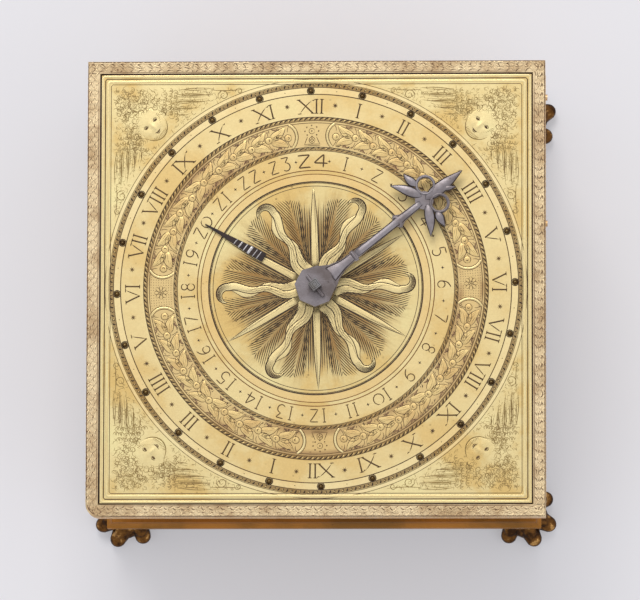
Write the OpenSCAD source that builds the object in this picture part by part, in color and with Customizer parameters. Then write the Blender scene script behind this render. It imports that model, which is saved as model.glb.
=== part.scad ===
// Square horizontal table clock: gilt case on lion's paw feet, engraved dial, going, striking and alarm trains

/* [Case] */
// Outer side of the square top rim
case_w = 120; // [100:1:150]
// Height from the floor to the top of the rim
case_h = 70; // [58:1:90]
// Height of the feet under the base moulding
foot_h = 12; // [8:0.5:16]
// Thickness of the side walls
wall_t = 2.0; // [1.2:0.1:2.6]
// Width of the rim seen from above
rim_w = 3.2; // [2.4:0.1:4.5]
// Gap between the dial plate and the rim on each side
dial_gap = 0.2; // [0.1:0.05:0.5]

/* [Dial] */
// Thickness of the dial plate
dial_t = 1.6; // [1.2:0.1:1.8]
// Turn of the engraved rings against the plate, counter-clockwise
dial_turn = 1.6; // [0:0.1:3]
// Radius of the turning alarm disc
disc_r = 27.85; // [20:0.05:34]
// Radius of the circle of touch pins
pin_ring_r = 52.1; // [45:0.1:53]
// Radius of one touch pin
pin_r = 0.78; // [0.5:0.02:1.2]
// Number of touch pins
pin_count = 24; // [12:1:24]

/* [Hand] */
// Direction of the hour hand, clockwise from the top of the dial
hand_dir = 51.5; // [0:0.5:360]
// Length of the hour hand from its arbor
hand_len = 49.0; // [40:0.5:54]
// Thickness of the hour hand
hand_t = 1.3; // [0.8:0.1:1.6]
// Direction of the alarm pointer, clockwise from the top of the dial
pointer_dir = -59.9; // [-180:0.1:180]

/* [Movement] */
// Thickness of the two movement plates
plate_t = 1.6; // [1.2:0.1:1.8]
// Radius of the bell
bell_r = 26; // [22:0.5:27]
// Radius of the balance wheel
balance_r = 13; // [10:0.5:13.5]
// Radial running clearance of every pivot and bore
run = 0.06; // [0.03:0.01:0.1]

/* [Hidden] */
$fa = 4;
$fs = 0.25;
eps = 0.01;
k = case_w / 120;
kz = (case_h - foot_h) / 58;
half = case_w / 2;
wall_out = half - 5.5;
wall_in = wall_out - wall_t;
base_out = half - 1.8;
door_in = 44 * k;
open_half = half - rim_w;
dial_half = open_half - dial_gap;
foot_at = half - 8;
top_lv = case_h;
dial_top = case_h - 0.2;
dial_low = dial_top - dial_t;
hole_r = disc_r + 0.2;

// Standing heights of the design, mapped on the chosen case height
function lv(u) = foot_h + (u - 12) * kz;
back_lo = lv(33);
back_hi = back_lo + plate_t;
front_lo = lv(60);
front_hi = front_lo + plate_t;
crown_z = lv(46);

// Places of the arbors, seen from above
at_centre = [0, 0];
at_fusee = [-26, -27];
at_barrel = [-33, 14];
at_second = at_fusee + polar(19.9, 12);
at_contrate = at_second + polar(14.3, 105);
at_verge = at_contrate + [0, 21.1];
at_strike = [28, -26];
at_pin = at_strike + polar(21.6, 100);
at_warning = at_pin + polar(14.3, 70);
at_fly = at_warning + polar(10.9, 100);
at_hammer = [38.4, -1.95];
at_detent = [46, -6];
at_alarm = [-10, 36];
at_scape = [4.5, 36];
at_pallets = [6, 25.6];
at_bell = [4, -6];
head_strike = [26.2, 12.6];
head_alarm = [17.3, 19.8];
pillar_at = 45;
dial_foot_at = [45, 32];
winding_at = [at_fusee, at_strike, at_alarm];
hinge_z = foot_h - 1.2;
latch_y = -39 * k;
cock_at = at_verge + [-17.5, 0];

// Radii of pivots and through arbors
pivot_r = 0.7;
thick_r = 1.6;
upper_r = 1.2;
setting_r = 1.0;
staff_r = 0.7;
hammer_arbor_r = 0.9;
hour_r = 1.5;
hour_m = 0.958;

function polar(r, a) = [r * cos(a), r * sin(a)];
function dir_of(p, q) = atan2(q[1] - p[1], q[0] - p[0]);
function span(p, q) = norm(q - p);
// Angle of a tooth centre on the second wheel that meshes with the first
function meshed(a, n1, ph1, n2) = a + 180 - 180 / n2 + (a - ph1) * n1 / n2;

// Tooth angles at rest
ph_hour = 0;
ph_setting = meshed(dir_of(at_centre, at_fusee), 72, ph_hour, 6);
ph_great = 0;
ph_second_pinion = meshed(dir_of(at_fusee, at_second), 64, ph_great, 8);
ph_second = 0;
ph_contrate_pinion = meshed(dir_of(at_second, at_contrate), 56, ph_second, 7);
ph_strike = 0;
ph_pin_pinion = meshed(dir_of(at_strike, at_pin), 78, ph_strike, 8);
ph_pin = 0;
ph_warning_pinion = meshed(dir_of(at_pin, at_warning), 56, ph_pin, 7);
ph_warning = 0;
ph_fly = meshed(dir_of(at_warning, at_fly), 48, ph_warning, 6);
ph_alarm = 0;
ph_scape = meshed(dir_of(at_alarm, at_scape), 40, ph_alarm, 8);

// Round rod between two design heights
module rod(p, u0, u1, r) {
  translate([k * p[0], k * p[1], lv(u0)])
    cylinder(h = lv(u1) - lv(u0), r = k * r);
}

// Round rod with its height given in millimetres
module post(p, z0, z1, r) {
  translate([k * p[0], k * p[1], z0])
    cylinder(h = z1 - z0, r = k * r);
}

// Box between two corners in plan and two heights in millimetres
module slab(x0, y0, x1, y1, z0, z1) {
  translate([k * x0, k * y0, z0])
    cube([k * (x1 - x0), k * (y1 - y0), z1 - z0]);
}

// Bar of a given width from one place to another, with a round end
module bar(p, q, w, z0, z1) {
  post(q, z0, z1, w / 2);
  translate([k * p[0], k * p[1], z0])
    rotate(dir_of(p, q))
      translate([0, -k * w / 2, 0])
        cube([k * span(p, q), k * w, z1 - z0]);
}

// Outline of a toothed wheel with straight flanks
function tooth_pts(n, m, i) = let(pitch = 360 / n, root = m * (n / 2 - 1.2), tip = m * (n / 2 + 0.75))
  [polar(root, pitch * (i - 0.24)), polar(tip, pitch * (i - 0.1)),
   polar(tip, pitch * (i + 0.1)), polar(root, pitch * (i + 0.24))];
function gear_pts(n, m) = [for (i = [0 : n - 1]) each tooth_pts(n, m, i)];

// Toothed wheel or pinion without its bore
module gear(n, m, h, phase) {
  rotate(phase)
    linear_extrude(height = h)
      polygon(gear_pts(n, k * m));
}

// Four openings that leave a rim, a hub and four arms
module crossings(rim, hub, arm, h) {
  difference() {
    translate([0, 0, -1])
      cylinder(h = h + 2, r = k * rim);
    translate([0, 0, -2])
      cylinder(h = h + 4, r = k * hub);
    for (a = [0, 90])
      rotate(a)
        translate([-k * rim - 1, -k * arm / 2, -2])
          cube([2 * k * rim + 2, k * arm, h + 4]);
  }
}

// Crossed-out wheel at a place and height, with a round bore
module wheel(p, z0, h, n, m, phase, rim, bore) {
  translate([k * p[0], k * p[1], z0])
    difference() {
      gear(n, m, h, phase);
      rotate(phase)
        crossings(rim, bore + 1.8, 1.6, h);
      translate([0, 0, -1])
        cylinder(h = h + 2, r = k * bore);
    }
}

// Pinion leaves at a place between two design heights
module leaves(p, u0, u1, n, m, phase) {
  translate([k * p[0], k * p[1], lv(u0)])
    gear(n, m, lv(u1) - lv(u0), phase);
}

// Arbor between the plates with a thinner pivot in each plate
module plate_arbor(p, r) {
  post(p, back_hi + 0.15, front_lo - 0.15, r);
  post(p, back_lo + 0.2, front_hi - 0.2, pivot_r);
}

// Square end of a winding arbor below the back plate
module winding_square(p) {
  translate([k * (p[0] - 1.15), k * (p[1] - 1.15), lv(16)])
    cube([k * 2.3, k * 2.3, lv(22.5) - lv(16)]);
}

// Ring band of a square frame: one profile swept round four mitred sides
module square_frame(pts) {
  reach = 2 * half;
  for (a = [0 : 90 : 270])
    rotate(a)
      intersection() {
        rotate([90, 0, 0])
          translate([0, 0, -reach])
            linear_extrude(height = 2 * reach)
              polygon(pts);
        linear_extrude(height = 2 * case_h)
          polygon([[0, 0], [reach, -reach], [reach, reach]]);
      }
}

// Coiled spring outline with a given number of turns
function coil_r(r0, r1, t) = r0 + (r1 - r0) * t;
module coil(p, z0, z1, r0, r1, turns, strip) {
  steps = turns * 30;
  outer = [for (i = [0 : steps]) polar(coil_r(r0, r1, i / steps) + strip / 2, i * 12)];
  inner = [for (i = [steps : -1 : 0]) polar(coil_r(r0, r1, i / steps) - strip / 2, i * 12)];
  translate([k * p[0], k * p[1], z0])
    linear_extrude(height = z1 - z0)
      polygon(k * concat(outer, inner));
}

// Spring drum with a floor, a wall and a cap round an arbor hole
module drum(p, z0, z1, r, bore) {
  translate([k * p[0], k * p[1], 0])
    rotate_extrude()
      polygon([[k * bore, z0], [k * r, z0], [k * r, z1], [k * bore, z1],
        [k * bore, z1 - 1.2], [k * (r - 1), z1 - 1.2], [k * (r - 1), z0 + 1.2], [k * bore, z0 + 1.2]]);
}

// Saw-toothed ratchet wheel outline
function ratchet_pts(n, r0, r1) = [for (i = [0 : n - 1]) each [polar(r1, 360 / n * i), polar(r0, 360 / n * (i + 0.12))]];

// Distance from the foot's middle, angle from its diagonal and radius of each toe
toes = [[7.5, -65, 2.4], [8.8, -18, 2.5], [8.8, 18, 2.5], [7.5, 65, 2.4]];
module paw() {
  intersection() {
    union() {
      cylinder(h = 3.0, r = 5.2);
      for (t = toes)
        rotate(t[1]) {
          translate([t[0], 0, 2.2])
            sphere(r = t[2]);
          translate([0, 0, 2.2])
            rotate([0, 90, 0])
              cylinder(h = t[0], r = t[2] - 0.4);
        }
      translate([0, 0, 2.6])
        sphere(r = 5.0);
      rotate_extrude()
        polygon([[0, 2], [4.6, 2], [3.9, 5], [3.5, foot_h - 4.6], [3.7, foot_h - 3], [4.6, foot_h - 1.6],
          [5.2, foot_h - 1.3], [5.2, foot_h], [0, foot_h]]);
    }
    translate([-20, -20, 0])
      cube([40, 40, foot_h]);
  }
}

module feet() {
  color("#7a4f26")
    for (a = [0 : 90 : 270])
      rotate(a)
        translate([foot_at, foot_at, 0])
          rotate(45)
            paw();
}

module base_moulding() {
  z = foot_h;
  color("#c08a48")
    difference() {
      union() {
        square_frame([[door_in, z], [base_out, z], [base_out, z + 1.2], [base_out - 0.5, z + 1.5],
          [base_out - 0.5, z + 2.1], [base_out, z + 2.4], [base_out, z + 3.2], [base_out - 0.6, z + 3.6],
          [base_out - 1.1, z + 4.3], [base_out - 1.4, z + 5.1], [base_out - 1.4, z + 6], [wall_out, z + 6],
          [wall_out, z + 2], [wall_in, z + 2], [wall_in, z + 2.9], [door_in - 1.2, z + 2.9],
          [door_in - 1.2, z + 1.7], [door_in, z + 1.7]]);
        for (s = [-1, 1])
          hinge_block(s * 26, 1);
      }
      for (s = [-1, 1])
        hinge_hole(s * 26, 0.02);
    }
}

// Knuckle of the base hinge, with its leaf towards the frame or the door
module hinge_block(x, side) {
  translate([k * x - 4, door_in, hinge_z])
    rotate([0, 90, 0])
      cylinder(h = 8, r = 1.1);
  if (side > 0)
    translate([k * x - 4, door_in, hinge_z - 0.4])
      cube([8, 4, foot_h - hinge_z + 0.4 + 0.1]);
  if (side < 0)
    translate([k * x - 4, door_in - 4, hinge_z - 0.4])
      cube([8, 3.8, foot_h - hinge_z + 0.4 + 0.1]);
}

module hinge_hole(x, gap) {
  translate([k * x - 5, door_in, hinge_z])
    rotate([0, 90, 0])
      cylinder(h = 10, r = 0.6 + gap);
}

module hinge_pins() {
  color("#8f8a80")
    for (s = [-1, 1])
      translate([s * k * 21.7 - 8.3, door_in, hinge_z])
        rotate([0, 90, 0])
          cylinder(h = 16.6, r = 0.6);
}

module base_door() {
  side = door_in - 0.2;
  color("#c79a52")
    difference() {
      union() {
        translate([-side, -side, foot_h])
          cube([2 * side, 2 * side, 1.6]);
        for (s = [-1, 1])
          hinge_block(s * 17.4, -1);
      }
      for (s = [-1, 1])
        hinge_hole(s * 17.4, run);
      for (p = winding_at)
        translate([k * p[0], k * p[1], foot_h - 1])
          cylinder(h = 4, r = 3.5);
      translate([0, latch_y, foot_h - 1])
        cylinder(h = 4, r = 1.2 + run);
      for (i = [0 : 7])
        translate([k * at_bell[0], k * at_bell[1], foot_h - 1])
          rotate(i * 45)
            translate([k * 10, 0, 0])
              cylinder(h = 4, r = k * 2.4);
      translate([k * at_bell[0], k * at_bell[1], foot_h - 1])
        cylinder(h = 4, r = k * 4);
    }
}

module door_latch() {
  z = foot_h;
  color("#b08a4c")
    translate([0, latch_y, 0]) {
      translate([0, 0, z - 1.4])
        cylinder(h = 5.4, r = 1.2);
      translate([0, 0, z - 1.4])
        cylinder(h = 1.3, r = 2.6);
      translate([-3.2, -0.6, z - 2.6])
        cube([6.4, 1.2, 1.3]);
      translate([0, -1.2, z + 3.0])
        cube([8.2, 2.4, 1.0]);
    }
}

// One wall of the case, running between or across its neighbours
module wall(turn, reach) {
  color("#cfa35a")
    rotate(turn)
      translate([-reach, -wall_out, foot_h + 2])
        cube([2 * reach, wall_t, lv(66) - foot_h - 2]);
}

module wall_front() {
  wall(0, wall_out);
}

module wall_back() {
  wall(180, wall_out);
}

module wall_left() {
  wall(270, wall_in);
}

module wall_right() {
  wall(90, wall_in);
}

module top_frame() {
  color("#b98d4a")
    square_frame([[wall_in, lv(66)], [open_half, lv(66)], [open_half, dial_low], [wall_in, dial_low]]);
}

rim_lo = lv(62);
rim_mid = lv(66);
// Section of the moulded rim, with a hollow curve under its edge
rim_pts = concat([[half, top_lv - 0.3], [half - 0.3, top_lv], [open_half, top_lv], [open_half, rim_mid],
  [wall_out, rim_mid], [wall_out, rim_lo], [wall_out + 0.9, rim_lo], [wall_out + 0.9, rim_lo + 0.6]],
  [for (i = [1 : 5]) [wall_out + 0.9 + (half - wall_out - 1.5) * (1 - cos(i * 18)), rim_lo + 0.6 + 1.4 * sin(i * 18)]],
  [[half - 0.6, rim_lo + 2.4], [half, rim_lo + 2.6]]);
// Radius to which the front left corner is worn
worn_r = 3.4 * k;

// Block with one length above the step of the rim and another below it
module stepped_block(x0, y_high, y_low, high_len, low_len) {
  translate([x0, y_high, rim_mid])
    cube([case_w, high_len, case_h]);
  translate([x0, y_low, 0])
    cube([case_w, low_len, rim_mid]);
}

// Front or back strip: it runs the full width and takes in both corners
module rim_end() {
  intersection() {
    square_frame(rim_pts);
    union() {
      for (x = [-case_w, 0])
        stepped_block(x, -case_w, -case_w, case_w - open_half, case_w - wall_out);
    }
  }
}

module rim_front() {
  color("#cbb592")
    difference() {
      rim_end();
      translate([-half, -half, rim_lo - 1])
        difference() {
          translate([-1, -1, 0])
            cube([worn_r + 1, worn_r + 1, case_h]);
          translate([worn_r, worn_r, -1])
            cylinder(h = case_h + 2, r = worn_r);
        }
    }
}

module rim_back() {
  color("#cbb592")
    rotate(180)
      rim_end();
}

// Left or right strip, butted between the other two
module rim_side(turn) {
  color("#cbb592")
    rotate(turn)
      intersection() {
        rotate([90, 0, 0])
          translate([0, 0, -case_w])
            linear_extrude(height = 2 * case_w)
              polygon(rim_pts);
        stepped_block(0, -open_half, -wall_out, 2 * open_half, 2 * wall_out);
      }
}

module rim_left() {
  rim_side(180);
}

module rim_right() {
  rim_side(0);
}

// Two small pins whose heads stand out of the right side of the rim
module rim_pins() {
  color("#6b4a2a")
    for (y = [50.3, 17])
      translate([half, k * y, top_lv - 1.6])
        rotate([0, 90, 0])
          cylinder(h = 0.55, r = 0.8);
}

module dial_plate() {
  color("#d2b478")
    difference() {
      translate([-dial_half, -dial_half, dial_low])
        cube([2 * dial_half, 2 * dial_half, dial_t]);
      translate([0, 0, dial_low - 1])
        cylinder(h = dial_t + 2, r = hole_r);
      for (i = [0 : pin_count - 1])
        rotate(dial_turn + 90 + i * 360 / pin_count)
          translate([k * pin_ring_r, 0, dial_low - 1])
            cylinder(h = dial_t + 2, r = pin_r * 0.6 + 0.03);
    }
}

// The pin at the top numeral stands a little higher than the others
module touch_pins() {
  color("#70522a")
    for (i = [0 : pin_count - 1])
      rotate(dial_turn + 90 + i * 360 / pin_count)
        translate([k * pin_ring_r, 0, dial_low]) {
          cylinder(h = dial_t, r = pin_r * 0.6);
          translate([0, 0, dial_t])
            cylinder(h = i == 0 ? 0.9 : 0.55, r1 = pin_r, r2 = pin_r * 0.6);
        }
}

module dial_feet() {
  color("#b98d4a")
    for (sx = [-1, 1])
      for (sy = [-1, 1])
        translate([sx * k * dial_foot_at[0], sy * k * dial_foot_at[1], 0]) {
          translate([0, 0, front_hi])
            cylinder(h = dial_low - front_hi, r = 2);
          difference() {
            translate([0, 0, front_lo - 1.6])
              cylinder(h = plate_t + 1.7, r = 1.2);
            cross_pin([0, 0, front_lo - 0.42], 4.8, 0.04);
          }
        }
}

// Taper pin lying across a tenon, or the hole for it with a gap all round
module cross_pin(at, len, gap) {
  translate([at[0], at[1] - len / 2, at[2]])
    rotate([-90, 0, 0])
      cylinder(h = len, r1 = 0.42 + gap, r2 = 0.3 + gap);
}

// Places and hole radii in the two plates
back_holes = [[at_fusee, thick_r], [at_strike, thick_r], [at_alarm, thick_r], [at_barrel, upper_r],
  [at_second, pivot_r], [at_contrate, pivot_r], [at_pin, pivot_r], [at_warning, pivot_r], [at_fly, pivot_r],
  [at_scape, pivot_r], [at_verge, staff_r + 0.2], [at_hammer, hammer_arbor_r], [at_pallets, hammer_arbor_r],
  [at_detent, pivot_r]];
front_holes = [[at_fusee, setting_r], [at_strike, upper_r], [at_alarm, upper_r], [at_barrel, upper_r],
  [at_second, pivot_r], [at_contrate, pivot_r], [at_pin, pivot_r], [at_warning, pivot_r], [at_fly, pivot_r],
  [at_scape, pivot_r], [at_verge, staff_r], [at_hammer, pivot_r], [at_pallets, pivot_r],
  [at_detent, pivot_r], [at_centre, upper_r]];

// Movement plate with its pivot holes and pillar holes
module plate(z0, holes) {
  side = 50 * k;
  difference() {
    translate([-side, -side, z0])
      cube([2 * side, 2 * side, plate_t]);
    for (h = holes)
      translate([k * h[0][0], k * h[0][1], z0 - 1])
        cylinder(h = plate_t + 2, r = k * h[1] + run);
    for (a = [45 : 90 : 315])
      rotate(a)
        translate([k * pillar_at * sqrt(2), 0, z0 - 1])
          cylinder(h = plate_t + 2, r = 1.3 + 0.02);
  }
}

module front_plate() {
  color("#c9a257")
    difference() {
      plate(front_lo, front_holes);
      for (sx = [-1, 1])
        for (sy = [-1, 1])
          translate([sx * k * dial_foot_at[0], sy * k * dial_foot_at[1], front_lo - 1])
            cylinder(h = plate_t + 2, r = 1.2 + 0.02);
    }
}

module back_plate() {
  color("#c9a257")
    difference() {
      plate(back_lo, back_holes);
      post(at_bell, back_lo - 1, back_hi + 1, 1.32);
    }
}

module pillars() {
  lo = back_hi;
  hi = front_lo;
  mid = (lo + hi) / 2;
  color("#b98d4a")
    for (a = [45 : 90 : 315])
      rotate(a)
        translate([k * pillar_at * sqrt(2), 0, 0])
          difference() {
            rotate_extrude()
              polygon([[0, back_lo - 0.9], [1.3, back_lo - 0.9], [1.3, lo], [2.8, lo], [2.8, lo + 1.2], [1.9, lo + 2.2],
              [1.6, lo + 4], [2.0, mid - 2.4], [2.7, mid - 0.8], [2.7, mid + 0.8], [2.0, mid + 2.4], [1.6, hi - 4],
              [1.9, hi - 2.2], [2.8, hi - 1.2], [2.8, hi], [1.3, hi], [1.3, front_hi + 1.3], [0, front_hi + 1.3]]);
            cross_pin([0, 0, front_hi + 0.42], 5.2, 0.04);
          }
}

// Pins across the ends of the pillars and of the dial feet
module taper_pins() {
  color("#8f8a80") {
    for (a = [45 : 90 : 315])
      rotate(a)
        cross_pin([k * pillar_at * sqrt(2), 0, front_hi + 0.42], 5.2, 0);
    for (sx = [-1, 1])
      for (sy = [-1, 1])
        cross_pin([sx * k * dial_foot_at[0], sy * k * dial_foot_at[1], front_lo - 0.42], 4.8, 0);
  }
}

// Two brackets under the front plate that carry the crown wheel's arbor
module potences() {
  x = k * at_contrate[0];
  y0 = k * (at_contrate[1] + 4);
  y1 = k * (at_contrate[1] + 18.8);
  color("#c9a257")
    difference() {
      union() {
        translate([x - k * 2, y0, crown_z - k * 1.8])
          cube([k * 4, k * 1.5, front_lo - crown_z + k * 1.8]);
        translate([x + k * 8.6, y1, crown_z - k * 1.6])
          cube([k * 2.2, k * 1.2, front_lo - crown_z + k * 1.6]);
        translate([x - k * 1.8, y1, crown_z - k * 1.6])
          cube([k * 12.4, k * 1.2, k * 3.2]);
      }
      translate([x, y0 - 1, crown_z])
        rotate([-90, 0, 0])
          cylinder(h = k * 20, r = k * 0.5 + run);
    }
}

module balance_cock() {
  z0 = lv(27.5);
  z1 = lv(29);
  color("#d2b478")
    difference() {
      union() {
        bar(cock_at, at_verge, 6, z0, z1);
        slab(cock_at[0] - 2.7, cock_at[1] - 3, cock_at[0] + 2.8, cock_at[1] + 3, z0, back_lo);
      }
      post(at_verge, z0 - 1, z1 + 1, staff_r - 0.2 + run / k);
      post(cock_at, z0 - 1, z0 + 3, 0.9);
    }
}

module cock_screw() {
  z0 = lv(27.5);
  color("#6f6d6e")
    difference() {
      union() {
        post(cock_at, z0 - 1.1, z0, 2);
        post(cock_at, z0 - 0.5, z0 + 2.8, 0.88);
      }
      translate([k * cock_at[0] - 3, k * cock_at[1] - 0.25, z0 - 1.3])
        cube([6, 0.5, 0.7]);
    }
}

bell_lo = lv(15);
bell_hi = lv(26.5);
// Section of the bell from the middle of its crown to its lip
function bell_line(t, inset) = [t < 0.5 ? k * bell_r * (0.12 + 1.5 * t) : k * bell_r * (1 - 0.13 * pow(2 - 2 * t, 2)) - inset,
  t < 0.5 ? bell_lo + inset + (bell_hi - bell_lo) * 0.22 * pow(2 * t, 2)
    : bell_lo + inset * (2 - 2 * t) + (bell_hi - bell_lo) * (0.22 + 0.78 * (2 * t - 1))];
module bell() {
  outer = [for (i = [0 : 16]) bell_line(i / 16, 0)];
  inner = [for (i = [16 : -1 : 0]) bell_line(i / 16, 1.1)];
  color("#d9c48a")
    translate([k * at_bell[0], k * at_bell[1], 0])
      rotate_extrude()
        polygon(concat([[k * 1.6 + 0.05, bell_lo]], outer, inner, [[k * 1.6 + 0.05, bell_lo + 1.1]]));
}

module bell_stud() {
  color("#8f8a80") {
    post(at_bell, bell_lo + 1.1, back_lo, 2.2);
    post(at_bell, bell_lo - 0.9, back_lo, 1.6);
    post(at_bell, back_lo - 0.1, back_hi + 0.4, 1.3);
    difference() {
      post(at_bell, bell_lo - 0.9, bell_lo, 3.4);
      for (s = [-1, 1])
        translate([k * at_bell[0] + s * k * 4.6 - k * 2, k * at_bell[1] - 5, bell_lo - 1.2])
          cube([k * 4, 10, 2]);
    }
  }
}

// Fixed arbor of the going barrel with its set-up ratchet wheel
module barrel_arbor() {
  color("#7d7b7a") {
    post(at_barrel, back_hi, front_lo, thick_r);
    post(at_barrel, back_lo - 0.8, front_hi + 0.4, upper_r);
  }
}

fusee_lo = lv(38.2);
fusee_hi = lv(52);
turns = 8;
// Radius of the fusee at one of its grooves
function fusee_r(t) = 12.5 - 6.0 * t + 1.5 * t * t;
module fusee() {
  pitch = (fusee_hi - fusee_lo - 2) / turns;
  grooves = [for (i = [0 : turns - 1]) each [
    [k * fusee_r(i / turns), fusee_lo + 1 + i * pitch],
    [k * fusee_r(i / turns) - 0.5, fusee_lo + 1 + (i + 0.5) * pitch],
    [k * fusee_r((i + 1) / turns), fusee_lo + 1 + (i + 0.98) * pitch]]];
  color("#caa557") {
    translate([k * at_fusee[0], k * at_fusee[1], 0])
      rotate_extrude()
        polygon(concat([[0, fusee_lo], [k * 12.5, fusee_lo]], grooves, [[k * 8.8, fusee_hi], [0, fusee_hi]]));
    post(at_fusee, back_hi + 0.15, front_lo - 0.15, 1.8);
    post(at_fusee, lv(22), back_hi + 0.2, thick_r);
    post(at_fusee, front_lo - 0.2, lv(64.3), setting_r);
    winding_square(at_fusee);
  }
}

gut_r = 0.42;
gut_z = fusee_lo + 1 + (fusee_hi - fusee_lo - 2) / turns * 4.5;
barrel_gut = 13.5 + gut_r + 0.05;
fusee_gut = fusee_r(4.5 / 8) - 0.5 + gut_r + 0.42;
gut_turn = 310;
// One turn of gut round a drum, from one angle through another
module gut_loop(p, z, r, from, sweep) {
  translate([k * p[0], k * p[1], z])
    rotate(from)
      rotate_extrude(angle = sweep)
        translate([k * r, 0])
          circle(r = gut_r);
}

// Gut line: turns on the barrel and on the fusee, and the straight run between them
module gut_line() {
  lean = dir_of(at_barrel, at_fusee) - acos((barrel_gut - fusee_gut) / span(at_barrel, at_fusee));
  p = at_barrel + polar(barrel_gut, lean);
  q = at_fusee + polar(fusee_gut, lean);
  color("#b9905a") {
    gut_loop(at_barrel, gut_z, barrel_gut, lean - gut_turn, gut_turn);
    for (i = [1 : 3])
      gut_loop(at_barrel, gut_z - i, barrel_gut, 0, 360);
    gut_loop(at_fusee, gut_z, fusee_gut, lean, gut_turn);
    translate([k * p[0], k * p[1], gut_z])
      rotate([0, 90, dir_of(p, q)])
        translate([0, 0, 0.02])
          cylinder(h = k * span(p, q) - 0.04, r = gut_r);
  }
}

// Spring clicks that hold the ratchet wheels of the striking and alarm arbors
module ratchet_clicks() {
  color("#6f6d6e") {
    for (p = [at_strike, at_alarm]) {
      translate([k * (p[0] - 8.4), k * p[1], back_lo - 1.5])
        cylinder(h = 1.5, r = 1.1);
      translate([k * (p[0] - 8.4), k * p[1] - 0.5, back_lo - 1.5])
        rotate(28)
          cube([k * 4.2, 1, 1.1]);
    }
  }
}

module alarm_disc() {
  color("#bda16c")
    difference() {
      union() {
        translate([0, 0, dial_top - 1.2])
          cylinder(h = 1.2, r = disc_r);
        translate([0, 0, lv(64.65)])
          cylinder(h = dial_top - 1.2 - lv(64.65) + eps, r = k * 4);
      }
      translate([0, 0, lv(60)])
        cylinder(h = case_h, r = k * hour_r + run);
    }
}

pointer_gap = 0.06;
// Dark flat pointer that is riveted on the alarm disc and reaches over the ring of small numbers
module alarm_pointer() {
  reach = disc_r + 5.75;
  base = disc_r - 12.15;
  color("#2a2622")
    rotate(90 - pointer_dir)
      translate([0, 0, dial_top]) {
        translate([0, 0, pointer_gap])
          linear_extrude(height = 0.75)
            polygon([[base, -1.15], [base + 4, -1.15], [reach - 0.3, -0.15], [reach, 0],
              [reach - 0.3, 0.15], [base + 4, 1.15], [base, 1.15]]);
        for (u = [1.4, 5.4])
          translate([base + u, 0, 0])
            cylinder(h = 0.4, r = 0.5);
      }
}

hand_lo = dial_top + 2.2;
hub_t = 2.4;
// Curved leaf outline: a length, a width and a sideways bend
function leaf_pts(len, w, bend) = concat(
  [for (i = [0 : 10]) [len * i / 10, bend * sin(90 * i / 10) + w / 2 * sin(180 * pow(i / 10, 0.7))]],
  [for (i = [9 : -1 : 1]) [len * i / 10, bend * sin(90 * i / 10) - w / 2 * sin(180 * pow(i / 10, 0.7))]]);

module leaf(u, v, turn, len, w, bend) {
  translate([u, v, 0])
    rotate(turn)
      linear_extrude(height = hand_t)
        polygon(leaf_pts(len, w, bend));
}

module ring(u, v, r, bore, h) {
  translate([u, v, 0])
    difference() {
      cylinder(h = h, r = r);
      translate([0, 0, -1])
        cylinder(h = h + 2, r = bore);
    }
}

// Steel hour hand: eight-sided hub, shaft with a collar and barbs, two rings and leaves round a spear
module hour_hand() {
  f = hand_len / 49;
  color("#6b6664")
    rotate(90 - hand_dir)
      translate([0, 0, hand_lo])
        difference() {
          union() {
            linear_extrude(height = hub_t)
              polygon([for (a = [0, 40, 85, 130, 178, 225, 268, 315]) polar(5.4, a + 6)]);
            linear_extrude(height = hand_t)
              polygon([[3.4, 4.1], [6.2, 2.3], [9, 1.4], [12.4, 1.15], [12.4, 1.5], [13.4, 1.5], [13.4, 1.05],
                [f * 26.4, 1.0], [f * 27.3, 2.0], [f * 29, 1.1], [f * 34, 0.9], [f * 34, -0.9], [f * 29, -1.1],
                [f * 27.3, -2.0], [f * 26.4, -1.0], [13.4, -1.05], [13.4, -1.5], [12.4, -1.5], [12.4, -1.15],
                [9, -1.4], [6.2, -2.3], [3.4, -4.1]]);
            translate([f * 36.3, 0, 0])
              cylinder(h = hand_t, r = 2.4);
            for (s = [-1, 1]) {
              ring(f * 39, s * 3.0, 2.7, 1.95, hand_t);
              leaf(f * 36.4, s * 1.2, s * 132, 8.6, 2.7, s * -1.4);
              leaf(f * 37.2, s * 4.2, s * 88, 4.6, 2.2, s * 1.0);
            }
            leaf(f * 36.6, 0, 0, f * 12.4, 3.4, 0);
            leaf(f * 42, -0.6, -24, 3.4, 1.4, -0.3);
          }
          translate([-k * 1.27, -k * 1.27, -1])
            cube([k * 2.54, k * 2.54, hub_t + 2]);
        }
}

module hand_pin() {
  color("#807c7a")
    rotate(90 - hand_dir)
      translate([0, -3.5, hand_lo + hub_t + 0.5])
        rotate([-90, 0, 0])
          cylinder(h = 7, r1 = 0.5, r2 = 0.4);
}

module hour_arbor() {
  lo = hand_lo - 0.3;
  top = hand_lo + hub_t + 3.9;
  color("#8b8785")
    difference() {
      union() {
        translate([0, 0, front_hi + 0.05])
          cylinder(h = lo - front_hi - 0.05, r = k * hour_r);
        translate([0, 0, front_lo - 0.8])
          cylinder(h = plate_t + 1, r = k * upper_r);
        translate([0, 0, lo - 0.01])
          rotate(90 - hand_dir)
            translate([-k * 1.25, -k * 1.25, 0])
              cube([k * 2.5, k * 2.5, top - lo]);
        translate([0, 0, lo - 0.6])
          cylinder(h = 0.9, r = k * 2.3);
      }
      rotate(90 - hand_dir)
        translate([0, -4, hand_lo + hub_t + 0.5])
          rotate([-90, 0, 0])
            cylinder(h = 8, r1 = 0.57, r2 = 0.44);
    }
}

module hour_wheel() {
  color("#c9a257")
    union() {
      wheel(at_centre, lv(62.5), lv(63.7) - lv(62.5), 72, hour_m, ph_hour, 31.4, hour_r);
      difference() {
        rod(at_centre, 63.6, 64.6, 3.8);
        rod(at_centre, 62, 66, hour_r);
      }
    }
}

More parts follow.
